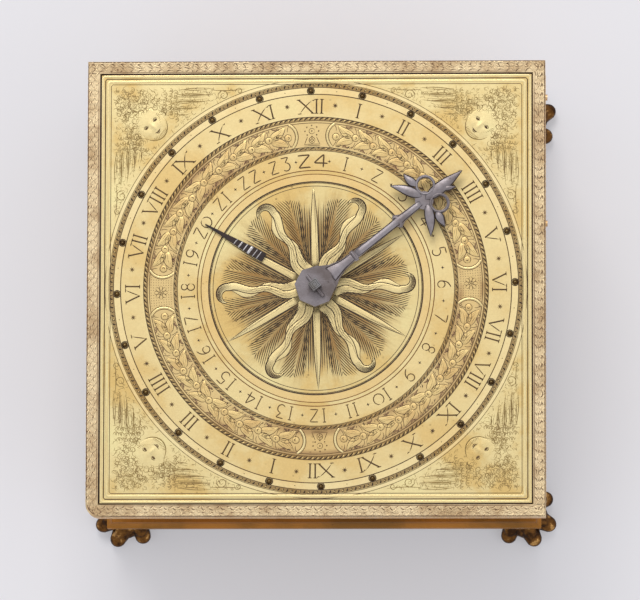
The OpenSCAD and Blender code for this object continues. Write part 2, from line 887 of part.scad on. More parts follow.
module setting_pinion() {
  color("#8b8785")
    difference() {
      leaves(at_fusee, 62.1, 64.1, 6, hour_m, ph_setting);
      rod(at_fusee, 61, 66, setting_r + run);
    }
}

module great_wheel() {
  color("#c9a257")
    wheel(at_fusee, lv(36), lv(37.4) - lv(36), 64, 0.55, ph_great, 14.8, 1.8 + run);
}

module going_barrel() {
  color("#c08f4a")
    drum(at_barrel, lv(38), lv(56), 13.5, thick_r + run);
}

module going_spring() {
  color("#5d6a78")
    coil(at_barrel, lv(38) + 1.5, lv(56) - 1.5, 3.2, 12.15, 7, 0.5);
}

module second_arbor() {
  color("#8b8785") {
    plate_arbor(at_second, 1.2);
    leaves(at_second, 35.2, 38.4, 8, 0.55, ph_second_pinion);
  }
}

module second_wheel() {
  color("#c9a257")
    wheel(at_second, lv(54), lv(55.2) - lv(54), 56, 0.45, ph_second, 10.6, 1.2);
}

contrate_n = 42;
contrate_top = crown_z - k * 0.96;
// Arbor with a wheel whose teeth stand up from its rim and turn a pinion on a level arbor
module contrate_wheel() {
  lo = lv(40);
  color("#c9a257") {
    plate_arbor(at_contrate, 1.0);
    leaves(at_contrate, 53, 56.4, 7, 0.45, ph_contrate_pinion);
    translate([k * at_contrate[0], k * at_contrate[1], 0])
      difference() {
        translate([0, 0, lo])
          cylinder(h = contrate_top - lo, r = k * 10);
        translate([0, 0, lo + 1])
          cylinder(h = contrate_top - lo, r = k * 8.4);
        translate([0, 0, lo])
          crossings(7.0, 2.6, 1.5, 1);
        for (i = [0 : contrate_n - 1])
          rotate(90 + i * 360 / contrate_n)
            translate([k * 8, -k * 0.45, crown_z - k * 2.1])
              cube([k * 3, k * 0.9, k * 3]);
      }
  }
}

crown_n = 15;
crown_y = at_contrate[1] + 14.4;
// Crown wheel with saw teeth, its level arbor and its pinion
module crown_wheel() {
  color("#c2985a")
    translate([k * at_contrate[0], k * crown_y, crown_z])
      rotate([-90, 0, 0])
        difference() {
          union() {
            cylinder(h = k * 1, r = k * 6.5);
            ring(0, 0, k * 6.5, k * 5.6, k * 4);
            translate([0, 0, k * -8.7])
              cylinder(h = k * 12.9, r = k * 0.8);
            translate([0, 0, k * -10.2])
              cylinder(h = k * 15.6, r = k * 0.5);
            translate([0, 0, k * -6.4])
              rotate(90)
                linear_extrude(height = k * 2.4)
                  polygon(gear_pts(6, k * 0.438));
          }
          for (i = [0 : crown_n - 1])
            rotate(i * 360 / crown_n)
              translate([k * 5, 0, 0])
                rotate([90, 0, 90])
                  linear_extrude(height = k * 2)
                    polygon(k * [[0, 1.8], [2.35, 4.2], [0, 4.2]]);
          for (a = [0 : 90 : 270])
            rotate(a)
              translate([k * 3.3, 0, -1])
                cylinder(h = k * 3, r = k * 1.4);
        }
}

// Upright verge staff with two pallets set across each other
module verge() {
  color("#8b8785") {
    post(at_verge, lv(29.1), front_lo - 0.15, staff_r + 0.2);
    post(at_verge, lv(27.6), lv(29.2), staff_r - 0.2);
    post(at_verge, front_lo - 0.2, front_hi - 0.2, staff_r);
    for (s = [-1, 1])
      translate([k * at_verge[0], k * at_verge[1], crown_z + s * k * 6 - k * 1.3])
        rotate(-90 + s * 50)
          translate([0, -k * 0.25, 0])
            cube([k * 2.35, k * 0.5, k * 2.6]);
  }
}

module balance_wheel() {
  z0 = lv(30);
  h = lv(31) - lv(30);
  color("#c2985a")
    translate([k * at_verge[0], k * at_verge[1], z0])
      difference() {
        cylinder(h = h, r = k * balance_r);
        rotate(20)
          difference() {
            translate([0, 0, -1])
              cylinder(h = h + 2, r = k * (balance_r - 1.6));
            translate([0, 0, -2])
              cylinder(h = h + 4, r = k * 2.4);
            translate([-k * balance_r, -k * 0.8, -2])
              cube([2 * k * balance_r, k * 1.6, h + 4]);
          }
        translate([0, 0, -1])
          cylinder(h = h + 2, r = k * (staff_r + 0.2));
      }
}

// Drum with the first wheel of its train cut round its floor
module barrel_with_wheel(p, n, m, r, z1, phase) {
  z0 = lv(36);
  h = lv(37.4) - z0;
  difference() {
    translate([k * p[0], k * p[1], z0])
      gear(n, m, h, phase);
    post(p, z0 - 1, z0 + h + 1, thick_r + run / k);
  }
  drum(p, z0 + h - eps, z1, r, thick_r + run / k);
}

module strike_barrel() {
  color("#c08f4a")
    barrel_with_wheel(at_strike, 78, 0.5, 15, lv(52), ph_strike);
}

module strike_spring() {
  color("#5d6a78")
    coil(at_strike, lv(37.4) + 1.5, lv(52) - 1.5, 3.2, 13.65, 8, 0.5);
}

// Winding arbor with its square, its ratchet wheel and its upper pivot
module winding_arbor(p) {
  post(p, lv(22), front_lo - 0.15, thick_r);
  post(p, front_lo - 0.2, front_hi - 0.2, upper_r);
  winding_square(p);
  translate([k * p[0], k * p[1], back_lo - 1.3])
    linear_extrude(height = 1.1)
      polygon(k * ratchet_pts(16, 3.6, 4.6));
}

module strike_arbor() {
  color("#7d7b7a")
    winding_arbor(at_strike);
}

// Blows of twelve hours: each notch lies after one more blow than the last
blows = [for (i = [0 : 11]) (i + 1) * (i + 2) / 2];
// Wheel whose notches stop the striking after the right number of blows
module count_wheel() {
  z0 = front_lo - 1.8;
  color("#c9a257")
    difference() {
      union() {
        post(at_strike, z0, z0 + 1, 12);
        post(at_strike, lv(52), z0 + 0.1, 3);
      }
      post(at_strike, lv(51), z0 + 2, thick_r + run / k);
      for (b = blows)
        translate([k * at_strike[0], k * at_strike[1], z0 - 0.5])
          rotate(b * 360 / 78)
            translate([k * 10.4, -k * 0.35, 0])
              cube([k * 3, k * 0.7, 2]);
      for (a = [20 : 72 : 308])
        translate([k * at_strike[0], k * at_strike[1], z0 - 0.5])
          rotate(a)
            translate([k * 6.6, 0, 0])
              cylinder(h = 2, r = k * 2);
    }
}

// Wheel with eight pins that lift the hammer, on its arbor
module pin_wheel() {
  z0 = lv(54);
  h = lv(55.2) - z0;
  color("#c9a257") {
    plate_arbor(at_pin, 1.2);
    leaves(at_pin, 35.2, 38.4, 8, 0.5, ph_pin_pinion);
    wheel(at_pin, z0, h, 56, 0.45, ph_pin, 8.4, 1.1);
    for (i = [0 : 7])
      post(at_pin + polar(10.2, 22.5 + i * 45), z0 + h - 0.1, lv(57.4), 0.5);
  }
}

module warning_wheel() {
  z0 = lv(44);
  h = lv(45) - z0;
  color("#c9a257") {
    plate_arbor(at_warning, 1.1);
    leaves(at_warning, 53, 56.4, 7, 0.45, ph_warning_pinion);
    wheel(at_warning, z0, h, 48, 0.4, ph_warning, 7.9, 1.0);
    post(at_warning + polar(8.4, 190), z0 + h - 0.1, z0 + h + 1.6, 0.4);
  }
}

// Air brake of the striking train: a pinion and two vanes
module fly() {
  color("#c2985a") {
    plate_arbor(at_fly, 0.8);
    leaves(at_fly, 43, 46, 6, 0.4, ph_fly);
    translate([k * at_fly[0], k * at_fly[1], lv(47.5)])
      rotate(25) {
        translate([-k * 7.6, -k * 0.25, 0])
          cube([k * 15.2, k * 0.5, lv(56) - lv(47.5)]);
        cylinder(h = lv(56) - lv(47.5), r = k * 1.3);
      }
  }
}

// Hammer on its arbor: a lifting tail between the plates, an arm and a head beside the bell
module strike_hammer() {
  head_lo = bell_hi - 5.5;
  tail = at_hammer + polar(2.9, dir_of(at_hammer, at_pin));
  color("#7d7b7a") {
    post(at_hammer, lv(28), front_lo - 0.15, hammer_arbor_r);
    post(at_hammer, front_lo - 0.2, front_hi - 0.2, pivot_r);
    bar(at_hammer, tail, 1, lv(56), lv(57));
    post(at_hammer, lv(55.5), lv(57.2), 1.6);
    bar(at_hammer, head_strike, 1.6, lv(28), lv(29.3));
    post(at_hammer, lv(28), lv(29.6), 1.8);
    post(head_strike, head_lo, lv(29.3), 1.1);
    post(head_strike, head_lo, bell_hi - 1, 2.5);
  }
}

// Lever that drops into the notches of the count wheel and holds the warning wheel
module detent_lever() {
  knife = at_strike + polar(12.9, dir_of(at_strike, at_detent));
  hoop = at_warning + polar(11.2, dir_of(at_warning, at_detent));
  color("#7d7b7a") {
    plate_arbor(at_detent, 1.0);
    bar(at_detent, knife, 1, front_lo - 1.8, front_lo - 0.9);
    bar(at_detent, hoop, 1, lv(44), lv(45));
    post(at_detent, front_lo - 1.8, front_lo - 0.9, 1.7);
    post(at_detent, lv(44), lv(45), 1.7);
  }
}

module alarm_barrel() {
  color("#c08f4a") {
    barrel_with_wheel(at_alarm, 40, 0.6, 10, lv(50), ph_alarm);
    coil(at_alarm, lv(37.4) + 1.5, lv(50) - 1.5, 3.0, 8.65, 5, 0.5);
  }
}

module alarm_arbor() {
  color("#7d7b7a")
    winding_arbor(at_alarm);
}

scape_n = 14;
module alarm_scape_wheel() {
  color("#c9a257") {
    plate_arbor(at_scape, 1.1);
    leaves(at_scape, 35.2, 38.4, 8, 0.6, ph_scape);
    translate([k * at_scape[0], k * at_scape[1], lv(53)])
      linear_extrude(height = lv(54.2) - lv(53))
        polygon(k * ratchet_pts(scape_n, 5.4, 7.5));
  }
}

// Alarm hammer: two pallets beside the alarm's scape wheel, an arm and a head beside the bell
module alarm_hammer() {
  head_lo = bell_hi - 5.5;
  aim = dir_of(at_pallets, at_scape);
  color("#7d7b7a") {
    post(at_pallets, lv(28), front_lo - 0.15, hammer_arbor_r);
    post(at_pallets, front_lo - 0.2, front_hi - 0.2, pivot_r);
    post(at_pallets, lv(52.6), lv(54.6), 1.7);
    for (s = [-1, 1])
      translate([k * at_pallets[0], k * at_pallets[1], lv(53)])
        rotate(aim + s * 55)
          translate([0, -k * 0.5, 0])
            cube([k * 4.0, k * 1.0, lv(54.2) - lv(53)]);
    bar(at_pallets, head_alarm, 1.6, lv(28), lv(29.3));
    post(at_pallets, lv(28), lv(29.6), 1.8);
    post(head_alarm, head_lo, lv(29.3), 1.1);
    post(head_alarm, head_lo, bell_hi - 1, 2.5);
  }
}

feet();
base_moulding();
wall_front();
wall_back();
wall_left();
wall_right();
top_frame();
rim_front();
rim_back();
rim_left();
rim_right();
rim_pins();
dial_plate();
touch_pins();
dial_feet();
front_plate();
back_plate();
pillars();
taper_pins();
potences();
balance_cock();
cock_screw();
bell();
bell_stud();
barrel_arbor();
gut_line();
hinge_pins();
ratchet_clicks();
base_door();
door_latch();
alarm_disc();
alarm_pointer();
hour_hand();
hand_pin();
hour_arbor();
hour_wheel();
setting_pinion();
great_wheel();
fusee();
going_barrel();
going_spring();
second_arbor();
second_wheel();
contrate_wheel();
crown_wheel();
verge();
balance_wheel();
strike_barrel();
strike_spring();
strike_arbor();
count_wheel();
pin_wheel();
warning_wheel();
fly();
strike_hammer();
detent_lever();
alarm_barrel();
alarm_arbor();
alarm_scape_wheel();
alarm_hammer();
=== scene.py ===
"""Looks of a square gilt table clock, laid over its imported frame."""

import math

import bpy
import numpy as np
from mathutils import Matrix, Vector


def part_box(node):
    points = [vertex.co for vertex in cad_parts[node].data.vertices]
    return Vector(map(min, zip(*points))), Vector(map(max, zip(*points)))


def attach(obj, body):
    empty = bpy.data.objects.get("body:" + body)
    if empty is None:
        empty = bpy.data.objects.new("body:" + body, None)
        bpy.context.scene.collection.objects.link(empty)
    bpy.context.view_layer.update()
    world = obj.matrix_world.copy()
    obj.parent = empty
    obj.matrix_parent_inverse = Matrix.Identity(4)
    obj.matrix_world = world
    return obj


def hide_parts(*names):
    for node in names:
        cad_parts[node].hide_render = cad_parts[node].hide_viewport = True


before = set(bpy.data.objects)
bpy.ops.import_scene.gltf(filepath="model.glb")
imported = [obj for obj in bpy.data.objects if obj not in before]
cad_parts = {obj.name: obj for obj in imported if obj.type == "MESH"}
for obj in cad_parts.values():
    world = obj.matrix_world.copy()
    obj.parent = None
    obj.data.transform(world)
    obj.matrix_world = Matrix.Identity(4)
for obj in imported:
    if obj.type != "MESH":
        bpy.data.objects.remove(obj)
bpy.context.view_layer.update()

# Sizes, in millimetres from here on; the frame itself is in metres
MM = 0.001


def span(node):
    """Lowest and highest corner of a CAD node in millimetres."""
    low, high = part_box(node)
    return np.array(low) / MM, np.array(high) / MM


plate_half, plate_top = span("dial_plate")[1][1:]
disc_r, disc_top = span("alarm_disc")[1][1:]
rim_low, rim_high = span("rim_front")
rim_half, rim_top = rim_high[0], rim_high[2]
base_top = span("base_moulding")[1][2]
wall_half = span("wall_right")[1][0]
foot_top = span("feet")[1][2]
hand_top = span("hour_hand")[1][2]
arbor_top = span("hour_arbor")[1][2]
pointer_top = span("alarm_pointer")[1][2]
pin_high = span("touch_pins")[1]
door_high = span("base_door")[1]
bell_low, bell_high = span("bell")

# The dial was measured in the photograph on a plate of this half width, and scale fits it to the CAD plate
DRAWN_HALF = 56.6
scale = plate_half / DRAWN_HALF
FOOT_AT = 52.0 * scale
INNER_ROPE_R, OUTER_ROPE_R, PIN_ROPE_R = 36.7 * scale, 44.65 * scale, 53.6 * scale
ROMAN_R, ROMAN_H = 48.0 * scale, 3.7
STAR_R = 48.4 * scale
TRACK_R = 52.1 * scale
FIGURE_R, FIGURE_H = 33.55 * scale, 3.6
BAND_R = 40.55 * scale
HEAD_AT = 61.3 * scale

# The whole engraving stands turned a little against the plate's edges
TURN = math.radians(1.6)

# One of the dial's 24 hours, and the directions of hand and pointer, in degrees clockwise from the top
HOUR = math.pi / 12
HAND_DIR = 51.5
POINTER_DIR = -59.9

# A cut line is a low dark ridge on the metal: how far faint, clear and bold ones and low beads stand up
FAINT, CLEAR, BOLD, BEADED = 0.03, 0.04, 0.05, 0.08

# Raised work, from the flat leaves of the garland to the stamped ones of the rim, and on the steel hand
LEAF_RISE, RAY_RISE, BERRY_RISE, FLAME_RISE, EDGE_RISE, STAMP_RISE = 0.008, 0.016, 0.02, 0.028, 0.035, 0.09
HAND_EDGE, HAND_BACK, HAND_EYE = 0.16, 0.2, 0.3

# How far a stroke's underside lies in the metal, and the half width at its ends
SINK = 0.02
LEAST_HALF = 0.02

# How many points a stroke has: few in short hatches, many in those that curl
FEW, SOME, MORE, MANY = 8, 10, 12, 16

# The four quarter turns of a square, in radians
QUARTERS = np.arange(4) * math.pi / 2


# Paths: a stroke is an array of points, and a set of strokes has one axis more
def line(start, end, n=5):
    """A straight stroke: start plus t times (end minus start)."""
    t = np.linspace(0.0, 1.0, n)[:, None]
    return np.asarray(start, float) + t * (np.asarray(end, float) - np.asarray(start, float))


def curl(x, y, r0, r1, a0, a1, n=12):
    """An arc or spiral about (x, y): radius and angle go evenly from r0 to r1 and from a0 to a1 degrees."""
    t = np.linspace(0.0, 1.0, n)
    r = r0 + (r1 - r0) * t
    a = np.radians(a0 + (a1 - a0) * t)
    return np.stack([x + r * np.cos(a), y + r * np.sin(a)], axis=-1)


def bow(start, end, lift, n=8):
    """A bowed stroke: the straight one, pushed sideways by lift times sin(pi t)."""
    p = line(start, end, n)
    way = p[-1] - p[0]
    side = np.array([-way[1], way[0]]) / max(np.hypot(*way), 1e-9)
    return p + side * (lift * np.sin(np.pi * np.linspace(0.0, 1.0, n)))[:, None]


def copies(paths, x, y, turn, size=1.0, flip=1.0):
    """Copies of a motif: a point p goes to (x, y) + size times p turned by turn radians.

    Before that, p's first coordinate is multiplied by flip.
    """
    p = np.asarray(paths, float)
    places = np.broadcast_arrays(*(np.asarray(q, float) for q in (x, y, turn, size, flip)))
    x, y, turn, size, flip = (v.reshape(-1, 1, 1) for v in places)
    u, v = p[None, ..., 0] * flip * size, p[None, ..., 1] * size
    c, s = np.cos(turn), np.sin(turn)
    out = np.stack([x + c * u - s * v, y + s * u + c * v], axis=-1)
    return out.reshape(-1, p.shape[-2], 2)


def wrap(paths, radius, clockwise, turn=TURN):
    """Bends strokes onto a ring, x clockwise and y outwards.

    A point comes to the radius radius + y and to the angle clockwise + x / radius.
    """
    p = np.asarray(paths, float)
    r = radius + p[..., 1]
    a = math.pi / 2 - (clockwise + p[..., 0] / radius) + turn
    return np.stack([r * np.cos(a), r * np.sin(a)], axis=-1)


def beside(path, half, part):
    """The path moved to its left by part times the half width."""
    along = np.gradient(path, axis=-2)
    along /= np.maximum(np.linalg.norm(along, axis=-1, keepdims=True), 1e-9)
    return path + np.stack([-along[..., 1], along[..., 0]], axis=-1) * (half * part)[..., None]


def circle(radius, n=180, x=0.0, y=0.0):
    """A closed round path of n points."""
    a = np.arange(n) * 2 * np.pi / n
    return np.stack([x + radius * np.cos(a), y + radius * np.sin(a)], axis=-1)


def cut(paths, width, taper=0.5, heel=0.0):
    """A set of strokes and their half widths: width times sin(pi t) to the power taper.

    They are even where taper is 0, and a heel moves the widest place towards the start.
    """
    p = np.asarray(paths, float)
    t = np.linspace(0.0, 1.0, p.shape[1]) ** (1.0 - heel)
    swell = np.maximum(np.sin(np.pi * t), 0.0) ** taper if taper else np.ones(p.shape[1])
    half = np.broadcast_to(np.asarray(width, float).reshape(-1, 1) / 2, p.shape[:2])
    return p, np.maximum(half * swell, LEAST_HALF), False


def ring_cut(paths, width):
    """Closed paths of even width."""
    p = np.asarray(paths, float)
    if p.ndim == 2:
        p = p[None]
    half = np.broadcast_to(np.asarray(width, float).reshape(-1, 1) / 2, p.shape[:2])
    return p, half, True


# Sections that a stroke carries, right edge to left: offset and height
GROOVE = np.array([(-1.0, 0.0), (0.0, 1.0), (1.0, 0.0)])
BAND = np.array([(-1.0, 0.0), (-0.8, 0.9), (0.8, 0.9), (1.0, 0.0)])
VEINED = np.array([(-1.0, 0.0), (-0.5, 0.9), (0.0, 0.55), (0.5, 0.9), (1.0, 0.0)])
BEAD = np.array([(-1.0, 0.0), (-0.7, 0.7), (0.0, 1.0), (0.7, 0.7), (1.0, 0.0)])

LEVEL = (np.array([1.0, 0, 0]), np.array([0, 1.0, 0]), np.array([0, 0, 1.0]))


def sweep(cuts, z, rise, section=GROOVE, plane=LEVEL, origin=(0, 0, 0), sink=SINK):
    """Strokes as slim solids, from a section carried along each path.

    A point is the path's point plus its left normal times half width times the section's offset. It is raised
    by rise times the section's height and times the stroke's own swelling, or sunk where that height is 0.
    """
    ex, ey, en = plane
    origin = np.asarray(origin, float)
    all_verts, all_faces, start = [], [], 0
    m = len(section)
    for paths, half, closed in cuts:
        s, n, _ = paths.shape
        if closed:
            along = np.roll(paths, -1, 1) - np.roll(paths, 1, 1)
        else:
            along = np.gradient(paths, axis=1)
        along = along / np.maximum(np.linalg.norm(along, axis=-1, keepdims=True), 1e-9)
        normal = np.stack([-along[..., 1], along[..., 0]], axis=-1)
        out = half[..., None, None] * section[None, None, :, 0, None]
        flat = paths[:, :, None, :] + normal[:, :, None, :] * out
        swell = half / half.max(axis=1, keepdims=True)
        up = z + np.where(section[:, 1] > 0, rise * section[:, 1] * swell[..., None], -sink)
        verts = origin + flat[..., :1] * ex + flat[..., 1:] * ey + up[..., None] * en
        index = start + np.arange(s * n * m).reshape(s, n, m)
        over = np.roll(index, -1, 2)
        if closed:
            a, b = index, np.roll(index, -1, 1)
            c, d = np.roll(over, -1, 1), over
        else:
            a, b, c, d = index[:, :-1], index[:, 1:], over[:, 1:], over[:, :-1]
            all_faces += index[:, 0].tolist() + index[:, -1, ::-1].tolist()
        all_faces += np.stack([a, b, c, d], axis=-1).reshape(-1, 4).tolist()
        all_verts.append(verts.reshape(-1, 3))
        start += s * n * m
    return np.concatenate(all_verts), all_faces


def shells(grid):
    """Closed skins from arrays of points, with a flat face over both end rows.

    Rows run from pole to pole, and each row goes once round.
    """
    s, n, m, _ = grid.shape
    index = np.arange(s * n * m).reshape(s, n, m)
    over = np.roll(index, -1, 2)
    quads = np.stack([index[:, :-1], over[:, :-1], over[:, 1:], index[:, 1:]], axis=-1).reshape(-1, 4)
    faces = quads.tolist() + index[:, 0, ::-1].tolist() + index[:, -1].tolist()
    return grid.reshape(-1, 3), faces


def piece(name, made, body, look):
    """A mesh object from points in millimetres, in a named finish and riding on a body."""
    verts, faces = made
    mesh = bpy.data.meshes.new(name)
    mesh.from_pydata((np.asarray(verts) * MM).tolist(), [], faces)
    mesh.update()
    mesh.polygons.foreach_set("use_smooth", np.ones(len(mesh.polygons), bool))
    mesh.materials.append(finish[look])
    obj = bpy.data.objects.new(name, mesh)
    bpy.context.scene.collection.objects.link(obj)
    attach(obj, body)
    return obj


def together(*made):
    """Several skins as one."""
    verts, faces, start = [], [], 0
    for v, f in made:
        verts.append(np.asarray(v))
        faces += [[i + start for i in face] for face in f]
        start += len(v)
    return np.concatenate(verts), faces


def engraved(name, cuts, z, rise, look, section=GROOVE, body="case", sink=SINK):
    """A piece of strokes that all lie on one level."""
    return piece(name, sweep(cuts, z, rise, section, sink=sink), body, look)


# Materials
def tone(r, g, b):
    """A colour as it shows on screen, 0 to 255, turned into light."""
    c = np.array([r, g, b]) / 255.0
    c = np.where(c <= 0.04045, c / 12.92, ((c + 0.055) / 1.055) ** 2.4)
    return (*c.tolist(), 1.0)


def add(tree, kind, inputs=None, **settings):
    """A shader node with its settings, and its inputs set to values or wired to sockets."""
    node = tree.nodes.new(kind)
    for key, value in settings.items():
        setattr(node, key, value)
    for key, value in (inputs or {}).items():
        if isinstance(value, bpy.types.NodeSocket):
            tree.links.new(value, node.inputs[key])
        else:
            node.inputs[key].default_value = value
    return node


def math_of(tree, operation, a, b=0.0, c=0.0):
    """One step of arithmetic on values or sockets."""
    return add(tree, "ShaderNodeMath", {0: a, 1: b, 2: c}, operation=operation).outputs[0]


def times(tree, a, b):
    """Two values or sockets multiplied."""
    return math_of(tree, "MULTIPLY", a, b)


def step_up(tree, value, low, high, out_low=0.0, out_high=1.0):
    """Goes smoothly from out_low to out_high while the value goes from low to high."""
    ends = {"Value": value, "From Min": low, "From Max": high, "To Min": out_low, "To Max": out_high}
    return add(tree, "ShaderNodeMapRange", ends, interpolation_type="SMOOTHSTEP").outputs[0]


def mixed(tree, amount, a, b, blend="MIX"):
    """Colour a, which becomes colour b by the amount."""
    ends = {0: amount, 6: a, 7: b}
    return add(tree, "ShaderNodeMix", ends, data_type="RGBA", blend_type=blend, clamp_factor=True).outputs[2]


def noise(tree, place, fine, detail, roughness=0.5):
    """Soft noise over a place, with smaller clouds where fine is larger."""
    kind = {"Vector": place, "Scale": fine, "Detail": detail, "Roughness": roughness}
    return add(tree, "ShaderNodeTexNoise", kind).outputs[0]


def old_metal_group():
    """What age does to metal: soft clouds, grain, rubbed scratches and pits, and their height together."""
    group = bpy.data.node_groups.new("old_metal", "ShaderNodeTree")
    face = group.interface
    for name, size in (("Cloud Size", 60.0), ("Grain Size", 1800.0)):
        face.new_socket(name, in_out="INPUT", socket_type="NodeSocketFloat").default_value = size
    effects = ("Clouds", "Grain", "Scratches", "Pits", "Height")
    for name in effects:
        face.new_socket(name, in_out="OUTPUT", socket_type="NodeSocketFloat")
    came = group.nodes.new("NodeGroupInput")
    place = add(group, "ShaderNodeTexCoord").outputs["Object"]
    clouds = noise(group, place, came.outputs["Cloud Size"], 5.0, 0.62)
    grain = noise(group, place, came.outputs["Grain Size"], 3.0, 0.6)
    stretch = {"Vector": place, "Rotation": (0.0, 0.0, 0.6), "Scale": (160.0, 3200.0, 900.0)}
    rubbed = add(group, "ShaderNodeMapping", stretch).outputs[0]
    scratches = step_up(group, noise(group, rubbed, 1.0, 2.0), 0.62, 0.74)
    cells = add(group, "ShaderNodeTexVoronoi", {"Vector": place, "Scale": 520.0, "Randomness": 1.0})
    specks = step_up(group, cells.outputs["Distance"], 0.2, 0.08)
    pits = times(group, specks, step_up(group, clouds, 0.5, 0.62))
    height = math_of(group, "MULTIPLY_ADD", grain, 0.35, times(group, scratches, -0.25))
    height = math_of(group, "MULTIPLY_ADD", pits, -0.6, height)
    gone = group.nodes.new("NodeGroupOutput")
    for name, value in zip(effects, (clouds, grain, scratches, pits, height)):
        group.links.new(value, gone.inputs[name])
    return group


OLD_METAL = old_metal_group()


def metal(
    name,
    plain,
    worn,
    dark,
    rough=0.42,
    metallic=0.8,
    clouds=60.0,
    grain=1800.0,
    pits=0.5,
    bump=0.25,
    paint=None,
):
    """Old metal: the plain colour drifts to the worn one in clouds, and to the dark one in pits.

    paint may lay colours over it by place.
    """
    material = bpy.data.materials.new(name)
    material.use_nodes = True
    tree = material.node_tree
    tree.nodes.clear()
    age = add(tree, "ShaderNodeGroup", node_tree=OLD_METAL)
    age.inputs["Cloud Size"].default_value = clouds
    age.inputs["Grain Size"].default_value = grain
    colour = mixed(tree, step_up(tree, age.outputs["Clouds"], 0.38, 0.66), plain, worn)
    if paint:
        colour = paint(tree, age, colour)
    colour = mixed(tree, times(tree, age.outputs["Pits"], pits), colour, dark)
    colour = mixed(tree, times(tree, age.outputs["Grain"], 0.22), colour, dark, "MULTIPLY")
    roughness = math_of(tree, "MULTIPLY_ADD", age.outputs["Clouds"], 0.25, rough - 0.12)
    roughness = math_of(tree, "MULTIPLY_ADD", age.outputs["Scratches"], 0.12, roughness)
    height = {"Strength": bump, "Distance": 0.00006, "Height": age.outputs["Height"]}
    relief = add(tree, "ShaderNodeBump", height).outputs[0]
    surface = {"Base Color": colour, "Metallic": metallic, "Roughness": roughness, "Normal": relief}
    shader = add(tree, "ShaderNodeBsdfPrincipled", surface)
    add(tree, "ShaderNodeOutputMaterial", {"Surface": shader.outputs[0]})
    return material


# Colours, as they show on screen
GILT = tone(229, 210, 154)
WORN_GILT = tone(213, 189, 129)
WARM_GILT = tone(222, 194, 134)
BRIGHT_GILT = tone(240, 218, 166)
PINK_GILT = tone(224, 202, 160)
SCROLL_GILT = tone(212, 182, 124)
PEACH_GILT = tone(222, 190, 128)
TRACK_GILT = tone(236, 212, 158)
AMBER_GILT = tone(212, 176, 104)
LEMON_GILT = tone(238, 226, 164)
SUN_GILT = tone(224, 204, 146)
SUN_BROWN = tone(132, 99, 55)
RAY_BROWN = tone(150, 108, 56)
# Painted shade for the rim's outer sides
SIDE_SHADE_BROWN = tone(214, 174, 124)
ROPE_BROWN = tone(128, 96, 52)
VIOLET_BROWN = tone(142, 104, 70)
# Paw colours: partly worn metal, partly painted highlight and painted shade
PAW_WEAR_AND_HIGHLIGHT = tone(204, 156, 92)
PAW_PATINA_AND_SHADE = tone(54, 32, 14)
PAW_OUTLINE_SHADE = tone(50, 30, 12)
PATINA = tone(84, 58, 28)
DEEP = tone(44, 28, 14)

# Tinted rings of the dial under and over its violet shade: inner and outer radius, softness, strength, colour
LOW_TINTS = (
    (28.0, 29.95, 0.12, 0.7, PEACH_GILT),
    (31.0, 36.0, 0.35, 0.35, WARM_GILT),
    (37.3, 44.2, 0.35, 0.8, SCROLL_GILT),
)
HIGH_TINTS = (
    (36.35, 37.05, 0.1, 0.8, ROPE_BROWN),
    (44.1, 45.2, 0.1, 0.8, ROPE_BROWN),
    (53.1, 54.1, 0.1, 0.8, ROPE_BROWN),
    (45.4, 51.0, 0.35, 0.4, WARM_GILT),
    (51.3, 52.85, 0.1, 0.5, TRACK_GILT),
    (54.4, 55.0, 0.1, 0.5, BRIGHT_GILT),
)


def dial_place(tree):
    """Radius in millimetres and angle round the dial."""
    place = add(tree, "ShaderNodeTexCoord").outputs["Object"]
    parts = add(tree, "ShaderNodeSeparateXYZ", {0: place})
    x, y = parts.outputs[0], parts.outputs[1]
    flat = add(tree, "ShaderNodeCombineXYZ", {0: x, 1: y})
    radius = add(tree, "ShaderNodeVectorMath", {0: flat.outputs[0]}, operation="LENGTH").outputs["Value"]
    return math_of(tree, "DIVIDE", radius, MM * scale), math_of(tree, "ARCTAN2", y, x)


def inside(tree, value, low, high, soft=0.35):
    """1 where the value lies between low and high."""
    over = step_up(tree, value, low - soft, low + soft)
    return times(tree, over, step_up(tree, value, high + soft, high - soft))


def tinted(tree, radius, colour, tints):
    """Lays tinted rings over a colour."""
    for low, high, soft, amount, tint in tints:
        colour = mixed(tree, times(tree, inside(tree, radius, low, high, soft), amount), colour, tint)
    return colour


def patches(tree, clouds, colour):
    """Old gilding is amber in some places and lemon in others."""
    colour = mixed(tree, step_up(tree, clouds, 0.49, 0.62, 0.0, 0.6), colour, AMBER_GILT)
    return mixed(tree, step_up(tree, clouds, 0.45, 0.3, 0.0, 0.5), colour, LEMON_GILT)


def dial_paint(tree, age, colour):
    """Rings of the dial: a bright one at the disc, a browner band with violet edges, pale tracks outside."""
    radius, angle = dial_place(tree)
    clouds = age.outputs["Clouds"]
    colour = tinted(tree, radius, patches(tree, clouds, colour), LOW_TINTS)
    quarters = math_of(tree, "ABSOLUTE", math_of(tree, "COSINE", times(tree, angle, 4.0)))
    shade = times(tree, step_up(tree, clouds, 0.4, 0.6), step_up(tree, quarters, 0.0, 0.9, 0.45, 1.0))
    inner = times(tree, inside(tree, radius, 36.6, 38.6, 0.9), shade)
    outer = times(tree, inside(tree, radius, 42.8, 44.2, 0.7), shade)
    colour = mixed(tree, times(tree, math_of(tree, "MAXIMUM", inner, outer), 0.6), colour, VIOLET_BROWN)
    return tinted(tree, radius, colour, HIGH_TINTS)


